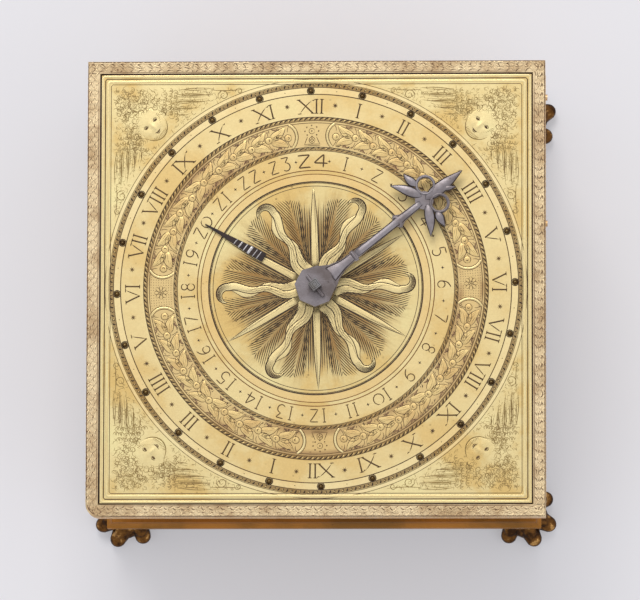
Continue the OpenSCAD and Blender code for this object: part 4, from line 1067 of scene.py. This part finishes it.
# Small strokes fill the ground of the corners, but not the faces
GROUND_STROKES = 2000
ground_at = rng.uniform(12, 53, (GROUND_STROKES, 2))
ground_turns = rng.uniform(0, 3.1, GROUND_STROKES)
ground = within(copies([bow((-0.5, 0), (0.5, 0), 0.12, 5)], ground_at[:, 0], ground_at[:, 1], ground_turns))
offset = ground.mean(axis=1) - HEAD_AT * math.cos(math.pi / 4)
ground = ground[np.hypot(offset[:, 0], offset[:, 1]) > 5.6]
wing_long, wing_short, wing_scales = (four(both(within(strokes))) for strokes in feathers())
corner_cuts = [
    cut(four(within(corner_place(curls), 55.9, 52.8)), 0.19, 0.4),
    cut(wing_long, 0.3, 0.35, 0.2),
    cut(wing_short, 0.16, 0.4),
    cut(wing_scales, 0.24, 0.3),
    cut(four(ground), 0.17, 0.5),
]
engraved("corner_cherubs", corner_cuts, plate_top, CLEAR, "cut_light")


def swelling(u, w, at_u, at_w, wide, long):
    """A soft round bump: e to the power of -((u - at_u) / wide) squared - ((w - at_w) / long) squared."""
    return np.exp(-(((u - at_u) / wide) ** 2) - ((w - at_w) / long) ** 2)


def face_relief():
    """Low modelled faces: over an oval the height is a dome, with soft bumps for the nose and both cheeks.

    Bumps downwards make the eyes' hollows and the mouth.
    """
    rows, cols = 12, 36
    ring = np.linspace(1.0, 0.04, rows)[:, None]
    a = (np.arange(cols) * 2 * np.pi / cols)[None]
    u, w = FACE_HALF * ring * np.cos(a), FACE_LONG * ring * np.sin(a)
    dome = 0.07 * (1 - ring**2) ** 2
    relief = 0.1 * swelling(u, w, 0, -0.9, 0.55, 1.3) - 0.04 * swelling(u, w, 0, -2.85, 1.1, 0.22)
    for s in (-1, 1):
        relief += 0.05 * swelling(u, w, s * 2.2, -1.8, 1.1, 1.1)
        relief -= 0.05 * swelling(u, w, s * 1.85, 0.1, 0.9, 0.55)
    height = np.where(ring == 1.0, -0.02, 0.005 + dome + relief * (1 - ring**4))
    flat = np.stack([u, w], axis=-1).reshape(-1, 2)
    made = []
    for turn in QUARTERS:
        placed = copies(corner_place([flat * FACE_SIZE]), 0, 0, turn, scale).reshape(rows, cols, 2)
        made.append(np.concatenate([placed, (plate_top + height)[..., None]], axis=-1))
    return shells(np.array(made))


def on_faces(strokes):
    """Strokes of a face, at its size and in all four corners."""
    return four(corner_place(np.array(strokes) * FACE_SIZE))


piece("cherub_faces", face_relief(), "case", "dial_gilt")

# The marks of a face stand over its low relief and reach down through it to the plate
FACE_LEVEL, FACE_RISE, FACE_SINK = plate_top + 0.04, 0.07, 0.06
face_cuts = [
    cut(on_faces([chin] + ears), 0.34, 0.4),
    cut(on_faces(chin_shade + cheek_shade + nose_shade), 0.15, 0.5),
]
engraved("cherub_features", face_cuts, FACE_LEVEL, FACE_RISE, "cut_light", sink=FACE_SINK)
look_cuts = [cut(on_faces(brows + nose + mouth), 0.3, 0.4), cut(on_faces(eyes), 0.95, 0.6)]
engraved("cherub_eyes", look_cuts, FACE_LEVEL, FACE_RISE, "cut_brown", sink=FACE_SINK)

# The sun on the alarm disc: six straight rays and six flames between them
RAY_START, RAY_END = 5.0, 26.8
ray_u = np.linspace(RAY_START, RAY_END, MORE)
ray_path = line((RAY_START, 0), (RAY_END, 0), MORE)
ray_half = np.interp(ray_u, [RAY_START, 9, 18, 23, RAY_END], [1.0, 1.0, 0.85, 0.42, 0.03])


def flame_strands():
    """A flame as two strands twisted once, with their middle lines and half widths.

    Along the flame at u, strand one runs at v = wave + gap and strand two at v = wave - gap, with
    wave = 0.55 sin(2 pi (u - 15) / 9.5) and gap = 1.12 cos(pi (u - 5) / 19), so they cross at u = 14.5.
    Strand one ends in an arc of about 2.1 mm radius that hooks back.
    """
    u = np.linspace(4.6, 22.6, 34)
    wave = 0.55 * np.sin(2 * np.pi * (u - 15) / 9.5)
    gap = 1.12 * np.cos(np.pi * (u - 5) / 19) * np.interp(u, [18, 22.6], [1.0, 0.35])
    hook = curl(23.3, 1.15, 2.15, 2.0, -96, 92, MANY)
    join = wave[-1] + gap[-1] - hook[0, 1]
    one = np.stack([u, wave + gap - join * np.interp(u, [16, 22.6], [0, 1])], axis=-1)
    one = np.concatenate([one, hook[1:]])
    two = np.stack([u, wave - gap], axis=-1)
    one_widths = [1.1, 1.05, 0.85, 0.8, 0.95, 1.0, 0.9, 0.6, 0.03]
    one_half = np.interp(np.arange(len(one)), [0, 6, 14, 20, 26, 33, 38, 43, 48], one_widths)
    two_half = np.interp(np.arange(len(two)), [0, 6, 14, 20, 27, 33], [1.1, 1.05, 0.9, 0.8, 0.85, 0.04])
    return one, one_half, two, two_half


strand_one, half_one, strand_two, half_two = flame_strands()
ray_turns = np.radians(90 - np.arange(0, 360, 60)) + TURN
flame_turns = ray_turns - math.radians(30)


def all_six(paths, turns):
    """Strokes of one ray or flame in all six places."""
    return copies(paths, 0, 0, turns, scale)


def body_of(path, half, turns):
    """A ray or strand with its own half widths, in all six places."""
    placed = all_six([path], turns)
    return placed, np.broadcast_to(half * scale, placed.shape[:2]), False


def outlines(path, half, parts):
    """Lines along a body, each at its part of the half width to the left."""
    return [beside(path, half, part) for part in parts]


low_bodies = [body_of(ray_path, ray_half, ray_turns), body_of(strand_two, half_two, flame_turns)]
high_bodies = [body_of(strand_one, half_one, flame_turns)]
engraved("sun_rays", low_bodies, disc_top, RAY_RISE, "raised_gilt", BAND, "alarm_dial")
engraved("sun_flames", high_bodies, disc_top, FLAME_RISE, "raised_gilt", BAND, "alarm_dial")

ray_edges = [np.stack([ray_u, s * ray_half], axis=-1) for s in (-1, 1)]
ray_shade = [line((u, -0.8), (u + 1.4, -0.2), FEW) for u in np.arange(5.2, 11, 0.7)]
ray_shade += [line((16, -0.15), (26, -0.02), FEW), line((14, -0.5), (24.5, -0.2), FEW)]
ray_shade.append(line((11, -0.3), (20, -0.35), FEW))
hook_hatch = [path[32:46] for path in outlines(strand_one, half_one, (-0.8, -0.55, -0.3, -0.05, 0.2, 0.5))]
high_folds = [path[:26] for path in outlines(strand_one, half_one, (-0.25, 0.35))]
low_folds = [path[:26] for path in outlines(strand_two, half_two, (-0.3, 0.3))]
low_lines = [
    cut(all_six(ray_edges, ray_turns), 0.32, 0.2),
    cut(all_six(ray_shade, ray_turns), 0.15, 0.5),
    cut(all_six(outlines(strand_two, half_two, (-1, 1)), flame_turns), 0.24, 0.2),
    cut(all_six(low_folds, flame_turns), 0.14, 0.5),
]
high_lines = [
    cut(all_six(outlines(strand_one, half_one, (-1, 1)), flame_turns), 0.26, 0.2),
    cut(all_six(high_folds, flame_turns), 0.14, 0.5),
    cut(all_six(hook_hatch, flame_turns), 0.22, 0.5),
]
sun_lines = together(sweep(low_lines, disc_top, BOLD), sweep(high_lines, disc_top + 0.02, 0.06))
piece("sun_outlines", sun_lines, "alarm_dial", "cut_dark")

# Hatching between ray and flame: strokes close by the ray, and a fan of slanting strokes nearer to the flame
starts = np.arange(6.2, 23.6, 1.2)
fan_spread = np.interp(starts, [6.4, 12, 17, 23.6], [1.2, 2.9, 4.0, 2.2])
leans = np.interp(starts, [6.4, 23.6], [0.42, 0.52])
lengths = np.minimum(fan_spread / np.tan(leans), 25.2 - 0.7 * np.abs(np.sin(5 * starts)) - starts)
fan = []
for start, length, lean in zip(starts, lengths, leans):
    for s, part in ((-1, 0.75), (1, 1.0)):
        tip = (start + part * length, s * part * length * math.tan(lean))
        fan.append(bow((start, s * 0.12), tip, -s * 0.12))
fan = np.array(fan)
root_ends = zip(np.linspace(-2.4, 2.4, 11), (10, 11, 13, 14, 13, 15, 13, 14, 13, 11, 10))
roots = [line((5.6, s * 0.3), (r, s), FEW) for s, r in root_ends]
beside_ray = [
    line((6.0 + 1.4 * i, s * (1.15 + 0.52 * i)), (22.4 + 0.3 * i - 1.1 * (i % 2), s * (1.2 + 0.66 * i)), FEW)
    for i in range(5)
    for s in (-1, 1)
]
fan_at, roots_at = math.radians(16.0), math.radians(15.5)
hatch_cuts = [
    cut(all_six(fan * np.array([1.0, side]), ray_turns + side * fan_at), 0.35, 0.25, 0.2) for side in (-1, 1)
]
both_sides = np.concatenate([ray_turns - roots_at, ray_turns + roots_at])
hatch_cuts.append(cut(all_six(roots, both_sides), 0.26, 0.8, 0.3))
hatch_cuts.append(cut(all_six(beside_ray, ray_turns), 0.38, 0.25, 0.2))
engraved("sun_hatching", hatch_cuts, disc_top, FAINT, "hatch_brown", body="alarm_dial")
disc_rings = [ring_cut(circle(disc_r - 0.95 * scale), 0.24), ring_cut(circle(disc_r - 0.14), 0.26)]
engraved("disc_edge_lines", disc_rings, disc_top, CLEAR, "cut_dark", body="alarm_dial")

# Bands of pale metal in the alarm pointer: place along it from its base, and width. Each leans a little.
POINTER_BANDS = ((1.5, 0.3), (2.7, 0.24), (4.2, 0.75), (5.6, 0.3), (7.1, 0.5), (8.6, 0.22))
POINTER_LENGTH, POINTER_HALF, POINTER_TIP = 17.6, 1.15, 0.15
BAND_LEAN = 0.15
pointer_base = disc_r - 12.15
band_lines = []
for u, _ in POINTER_BANDS:
    half = np.interp(u, [0, 4, POINTER_LENGTH], [POINTER_HALF, POINTER_HALF, POINTER_TIP])
    band_lines.append(line((pointer_base + u - BAND_LEAN, -half), (pointer_base + u + BAND_LEAN, half)))
band_lines = copies(band_lines, 0, 0, math.radians(90 - POINTER_DIR))
pointer_cuts = [cut(band_lines, [width for _, width in POINTER_BANDS], 0.0)]
engraved("pointer_bands", pointer_cuts, pointer_top, BOLD, "silver_band", BAND, "alarm_dial")

# Modelling on the hand's blade, which lies lower than its hub: u runs along the hand, v to its left
HUB_OVER_BLADE = 1.1
blade_top = hand_top - HUB_OVER_BLADE
hand_turn = math.radians(90 - HAND_DIR)


def hand_leaf(u, v, turn, length, bend, wide):
    """A leaf of the hand: its middle line is pushed sideways by bend times sin(pi t / 2).

    Its half width swells as 0.47 wide sin(pi times t to the power 0.7).
    """
    t = np.linspace(0, 1, MANY)
    middle = np.stack([length * t, bend * np.sin(np.pi / 2 * t)], axis=-1)
    half = np.maximum(0.47 * wide * np.sin(np.pi * t**0.7), LEAST_HALF)
    return copies([middle], u, v, math.radians(turn))[0], half


def on_hand(paths):
    """Strokes in the hand's own directions, turned to where the hand stands."""
    return copies(paths, 0, 0, hand_turn)


def rod(start, end, places, halves):
    """A straight part of the hand, with its half width given at some places along it."""
    path = line((start, 0), (end, 0), MANY)
    return on_hand([path]), np.interp(path[:, 0], places, halves)[None], False


hand_leaves = [(36.6, 0, 0, 12.4, 0.0, 3.4), (42, -0.6, -24, 3.4, -0.3, 1.4)]
for s in (-1, 1):
    hand_leaves += [(36.4, s * 1.2, s * 132, 8.6, s * -1.4, 2.7), (37.2, s * 4.2, s * 88, 4.6, s * 1.0, 2.2)]
leaf_paths, leaf_halves = (np.array(made) for made in zip(*(hand_leaf(*leaf) for leaf in hand_leaves)))
hand_bodies = [
    (on_hand(leaf_paths), leaf_halves, False),
    rod(13.7, 35.2, [13.7, 26.4, 27.3, 29, 35.2], [0.9, 0.88, 1.2, 0.9, 0.75]),
    rod(5.0, 12.5, [5, 6.2, 9, 12.5], [2.2, 1.9, 1.15, 0.95]),
]
# Painted shade: dark lines along the hand's outline stand for its bevelled edges in shade
hand_outlines = [np.concatenate(outlines(path, half, (-0.97, 0.97))) for path, half, _ in hand_bodies]
hand_edge_shade = [cut(paths, 0.3, 0.3) for paths in hand_outlines]
engraved("hand_edge_shade", hand_edge_shade, blade_top, HAND_EDGE, "black_steel", body="hand")
barbs = [line((28.6, s * 0.3), (26.9, s * 1.75), MANY) for s in (-1, 1)]
collar = line((12.9, -1.35), (12.9, 1.35), MANY)
hand_cuts = hand_bodies + [cut(on_hand(barbs), 0.7, 0.3), cut(on_hand([collar]), 0.8, 0.1)]
engraved("hand_modelling", hand_cuts, blade_top, HAND_BACK, "pale_steel", BAND, "hand")
arbor_squares = ((0.95 * scale, 0.2), (0.5 * scale, 0.16))
arbor_marks = [ring_cut(on_hand([square_path(half, 6, 0.1)]), width) for half, width in arbor_squares]
engraved("arbor_marks", arbor_marks, arbor_top, FAINT, "black_steel", body="hand")
eyelets = [ring_cut(on_hand([circle(2.32, 40, 39.0, s * 3.0)]), 0.62) for s in (-1, 1)]
engraved("hand_eyelets", eyelets, blade_top, HAND_EYE, "pale_steel", BEAD, "hand")


# Leaves stamped along the rims
def rim_leaves(half, low, high, n):
    """Leaf strokes along one strip: three rows that lean to either side by turns, like a plait.

    Each is a little off in place, turn and size, as hand work is.
    """
    x = np.linspace(-half, half, n)
    mid = (low + high) / 2
    leaf = bow((-0.7, 0), (0.7, 0), 0.25, 6)
    rows = []
    for row in (-1, 0, 1):
        drift, lean, size = rng.uniform(-0.35, 0.35, (3, n))
        side = np.where((np.arange(n) + row) % 2, 1.0, -1.0)
        y = mid + row * (high - low) * 0.27 + 0.3 * drift
        rows.append(copies([leaf], x + drift, y, side * 0.55 + lean, 1 + size))
    rows = np.concatenate(rows)
    rows[..., 1] = np.clip(rows[..., 1], low + 0.4, high - 0.42)
    return rows


# The rim's front left corner is worn round
WORN_R = 3.4


def off_corner(paths):
    """Drops strokes that reach over the worn corner."""
    middle = WORN_R - rim_half
    out = np.hypot(paths[..., 0] - middle, paths[..., 1] - middle)
    gone = (paths[..., 0] < middle) & (paths[..., 1] < middle) & (out > WORN_R - 0.25)
    return paths[~gone.any(axis=1)]


def round_rim(paths):
    """Strokes of one side of the rim's top on all four sides."""
    return off_corner(np.concatenate([copies(paths, 0, 0, a) for a in QUARTERS]))


def square_sides(half, short=0.0):
    """Four straight strokes round a square; the first and the last stop short of the front left corner."""
    corner = short - half
    ends = (
        ((corner, -half), (half, -half)),
        ((half, -half), (half, half)),
        ((half, half), (-half, half)),
        ((-half, half), (-half, corner)),
    )
    return [line(start, end, 24) for start, end in ends]


strip = rim_leaves(rim_half - 1.2, plate_half + 0.2, rim_half, 96)
rim_leaves_cut = [cut(round_rim(strip), 0.66, 0.7)]
engraved("rim_leafwork", rim_leaves_cut, rim_top, STAMP_RISE, "rim_gilt", VEINED)
# Painted shade: dark marks along the valleys between the stamped leaves
valley_rows = [copies(strip + np.array([0.2, shift]), 0, 0, a) for a in QUARTERS for shift in (0.3, -0.3)]
rim_valley_shade = off_corner(np.concatenate(valley_rows))[::2]
outer, inner = rim_half - 0.2, plate_half + 0.5
worn_at = WORN_R + 0.2
rim_lines = square_sides(outer, worn_at) + square_sides(inner)
rim_lines.append(curl(worn_at - outer, worn_at - outer, WORN_R, WORN_R, 180, 270, 24))
engraved("rim_edge_lines", [cut(rim_lines, 0.26, 0.08)], rim_top, BOLD, "shade_brown")

# Joints between the rim's strips, and a crack across the back one
joint_at, joint_end = plate_half + 0.2, rim_half - 0.05
seams = [
    line((-joint_end, joint_at), (-joint_at, joint_at), 6),
    line((joint_at, -joint_at), (joint_end, -joint_at), 6),
    bow((-32.6, joint_at), (-32.1, joint_end), 0.12, 6),
]
engraved("rim_seams", [cut(seams, 0.24, 0.1)], rim_top, BOLD, "cut_dark")
# Painted shade in the valleys between the rim's leaves
engraved("rim_valley_shade_marks", [cut(rim_valley_shade, 0.18, 0.6)], rim_top, STAMP_RISE, "shade_brown")


def side_plane(turn):
    """A wall's own directions: along it, up, and outwards."""
    c, s = math.cos(turn), math.sin(turn)
    return np.array([c, s, 0.0]), np.array([0, 0, 1.0]), np.array([s, -c, 0.0])


def on_sides(cuts, half, height, rise, section=GROOVE):
    """Strokes on all four upright sides at a height."""
    made = [sweep(cuts, half, rise, section, side_plane(a), (0, 0, height)) for a in QUARTERS]
    return together(*made)


side_cuts = [cut(rim_leaves(rim_half - 4.4, -2.2, 2.2, 72), 1.25, 0.6)]
side_leaves = on_sides(side_cuts, rim_half, rim_top - 2.75, 0.12, VEINED)
piece("rim_side_leafwork", side_leaves, "case", "rim_gilt")

# Scrolls cut into the four walls, with three lines round them
wall_low, wall_high = base_top + 0.6, rim_low[2] - 0.4
wall_mid, panel_half = (wall_low + wall_high) / 2, (wall_high - wall_low) / 2
long, short, blooms = scroll(2 * wall_half - 14, 5, panel_half - 4.2)
wall_cuts = [
    cut(long, 0.75, 0.35),
    cut(short, 0.5, 0.5),
    cut(copies(flower(2.6), blooms[:, 0], blooms[:, 1], 0), 0.45, 0.2),
]
unit_square = square_path(1.0, 24, 0.04)
for inset, width in ((1.6, 0.35), (2.5, 0.2), (3.8, 0.3)):
    sides = np.array([wall_half - inset, panel_half - inset + 0.6])
    wall_cuts.append(ring_cut(unit_square * sides, width))
piece("wall_scrolls", on_sides(wall_cuts, wall_half, wall_mid, BOLD), "case", "cut_brown")

# Rings cut into the base door: round its middle, the bell's sound holes and the key holes, and along its edge
UNDER = (np.array([1.0, 0, 0]), np.array([0, -1.0, 0]), np.array([0, 0, -1.0]))
DOOR_THICK = 1.6
KEY_HOLES = ((-26, -27), (28, -26), (-10, 36))
bell_x, bell_y = (bell_low + bell_high)[:2] / 2
door_rings = [ring_cut(circle(r * scale, 180, bell_x, -bell_y), w) for r, w in ((14.2, 0.35), (15.4, 0.2))]
door_rings += [ring_cut(circle(r * scale), w) for r, w in ((30.0, 0.35), (31.0, 0.2))]
for x, y in KEY_HOLES:
    door_rings += [ring_cut(circle(r, 60, x * scale, -y * scale), w) for r, w in ((4.3, 0.3), (5.0, 0.18))]
door_rings += square_cuts(door_high[0], ((1.0, 0.35), (1.8, 0.2)))
door_made = sweep(door_rings, DOOR_THICK - door_high[2], CLEAR, GROOVE, UNDER)
piece("door_rings", door_made, "door", "cut_brown")

# Feet, cast as lion's paws: angle of each toe from the foot's diagonal, its reach, and half spread in radians
TOES = ((-65, 9.9, 0.3), (-18, 11.3, 0.27), (18, 11.3, 0.27), (65, 9.9, 0.3))
PAD_R, BALL_RISE = 8.6, 2.6
ANKLE_Z = [0, 0.25, 1.2, 3.0, 5.2, 7.6, 9.4, 10.6, 11.0, foot_top]
ANKLE_R = [4.2, 5.4, 6.0, 5.8, 4.8, 3.7, 3.9, 4.7, 5.2, 5.2]


def hump(value, middle, wide):
    """A soft hump: e to the power of -((value - middle) / wide) squared."""
    return np.exp(-(((value - middle) / wide) ** 2))


def arch(value, middle, half):
    """A half circle: the root of 1 - ((value - middle) / half) squared, and 0 outside it."""
    return np.sqrt(np.clip(1 - ((value - middle) / half) ** 2, 0, 1))


def away(a, angle):
    """The angle from a given one, between -pi and pi."""
    return np.angle(np.exp(1j * (a - angle)))


def paws():
    """Skins round an upright middle line: the radius is the ankle's profile plus toes, locks and heel.

    A toe is a round ball with a pad under it, a knuckle over it and a crease across it, about its own angle.
    The locks of hair are a rippled collar above the toes.
    """
    rows, cols = 40, 120
    z = np.linspace(0.0, foot_top, rows)[:, None]
    a = (np.arange(cols) * 2 * np.pi / cols)[None]
    toes = np.zeros((rows, cols))
    for angle, reach, wide in TOES:
        near = away(a, math.radians(angle))
        pad = (reach - PAD_R) * hump(near, 0, wide * 2.2) * hump(z, 2.2, 2.6)
        ball = arch(z, 2.5, 2.5) * arch(near, 0, wide)
        knuckle = 1.2 * hump(z, 5.4, 1.3) * hump(near, 0, 0.22)
        crease = 0.8 * ball * hump(z, 4.0, 0.35)
        toes = np.maximum(toes, np.maximum(pad, 0) + BALL_RISE * ball + knuckle - crease)
    locks = 0.22 * np.abs(np.sin(6 * a + 0.8 * z)) * hump(z, 7.8, 1.6)
    heel = 0.7 * hump(away(a, np.pi), 0, 0.7) * hump(z, 2.0, 1.8)
    radius = np.interp(z, ANKLE_Z, ANKLE_R) + toes + locks + heel
    flat = np.stack([radius * np.cos(a), radius * np.sin(a)], axis=-1).reshape(-1, 2)
    foot = copies([flat], FOOT_AT, FOOT_AT, math.pi / 4)
    heights = np.broadcast_to(z, (rows, cols))[..., None]
    made = []
    for turn in QUARTERS:
        placed = copies(foot, 0, 0, turn).reshape(rows, cols, 2)
        made.append(np.concatenate([placed, heights], axis=-1))
    return shells(np.array(made))


paw_piece = piece("paw_feet", paws(), "case", "paw_gilt")
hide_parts("feet")


# Floor, light and camera
def lit_floor(colour, glow, share):
    """A floor that shows its own colour to the eye and in reflections for one share, so shadows stay pale.

    From below it lets the eye through.
    """
    material = bpy.data.materials.new("pale_floor")
    material.use_nodes = True
    tree = material.node_tree
    tree.nodes.clear()
    matt = add(tree, "ShaderNodeBsdfDiffuse", {"Color": colour, "Roughness": 0.9}).outputs[0]
    bright = add(tree, "ShaderNodeEmission", {"Color": glow, "Strength": 1.0}).outputs[0]
    path = add(tree, "ShaderNodeLightPath").outputs
    mirrored = math_of(tree, "MAXIMUM", path["Is Glossy Ray"], path["Is Transmission Ray"])
    seen = times(tree, math_of(tree, "MAXIMUM", path["Is Camera Ray"], mirrored), share)
    above = add(tree, "ShaderNodeMixShader", {0: seen, 1: matt, 2: bright}).outputs[0]
    clear = add(tree, "ShaderNodeBsdfTransparent").outputs[0]
    below = add(tree, "ShaderNodeNewGeometry").outputs["Backfacing"]
    whole = add(tree, "ShaderNodeMixShader", {0: below, 1: above, 2: clear})
    add(tree, "ShaderNodeOutputMaterial", {"Surface": whole.outputs[0]})
    return material


FLOOR_HALF = 3
floor_corners = [(x * FLOOR_HALF, y * FLOOR_HALF, 0) for x, y in ((-1, -1), (1, -1), (1, 1), (-1, 1))]
floor_mesh = bpy.data.meshes.new("floor")
floor_mesh.from_pydata(floor_corners, [], [(0, 1, 2, 3)])
floor_mesh.materials.append(lit_floor(tone(227, 226, 229), tone(228, 227, 230), 0.35))
floor = bpy.data.objects.new("floor", floor_mesh)
bpy.context.scene.collection.objects.link(floor)

world = bpy.data.worlds.new("studio")
world.use_nodes = True
sky = world.node_tree.nodes["Background"].inputs
sky["Color"].default_value = (0.93, 0.95, 1.0, 1.0)
sky["Strength"].default_value = 0.86
bpy.context.scene.world = world


def lamp(name, place, target, size, power, colour=(1, 1, 1)):
    """A square soft lamp that faces its target, in metres."""
    data = bpy.data.lights.new(name, "AREA")
    data.size = size
    data.energy = power
    data.color = colour
    obj = bpy.data.objects.new(name, data)
    bpy.context.scene.collection.objects.link(obj)
    obj.location = place
    obj.rotation_euler = (Vector(target) - Vector(place)).to_track_quat("-Z", "Y").to_euler()


lamp("key", (-0.15, 0.95, 1.15), (0, 0, 0.05), 0.7, 12.0, (1.0, 0.97, 0.93))
lamp("fill", (0.9, -0.5, 1.2), (0, 0, 0.05), 0.9, 1.5, (0.95, 0.97, 1.0))

# The camera stands almost two metres above the clock, a little to its right and front, and leans back to it
camera_data = bpy.data.cameras.new("camera")
camera_data.sensor_width = 36.0
camera_data.lens = 407.85
camera = bpy.data.objects.new("camera", camera_data)
bpy.context.scene.collection.objects.link(camera)
camera.location = (0.0794, -0.2257, 1.9498)
camera.rotation_euler = (0.11783, 0.04134, 0.00245)
bpy.context.scene.camera = camera
bpy.context.scene.view_settings.view_transform = "Standard"
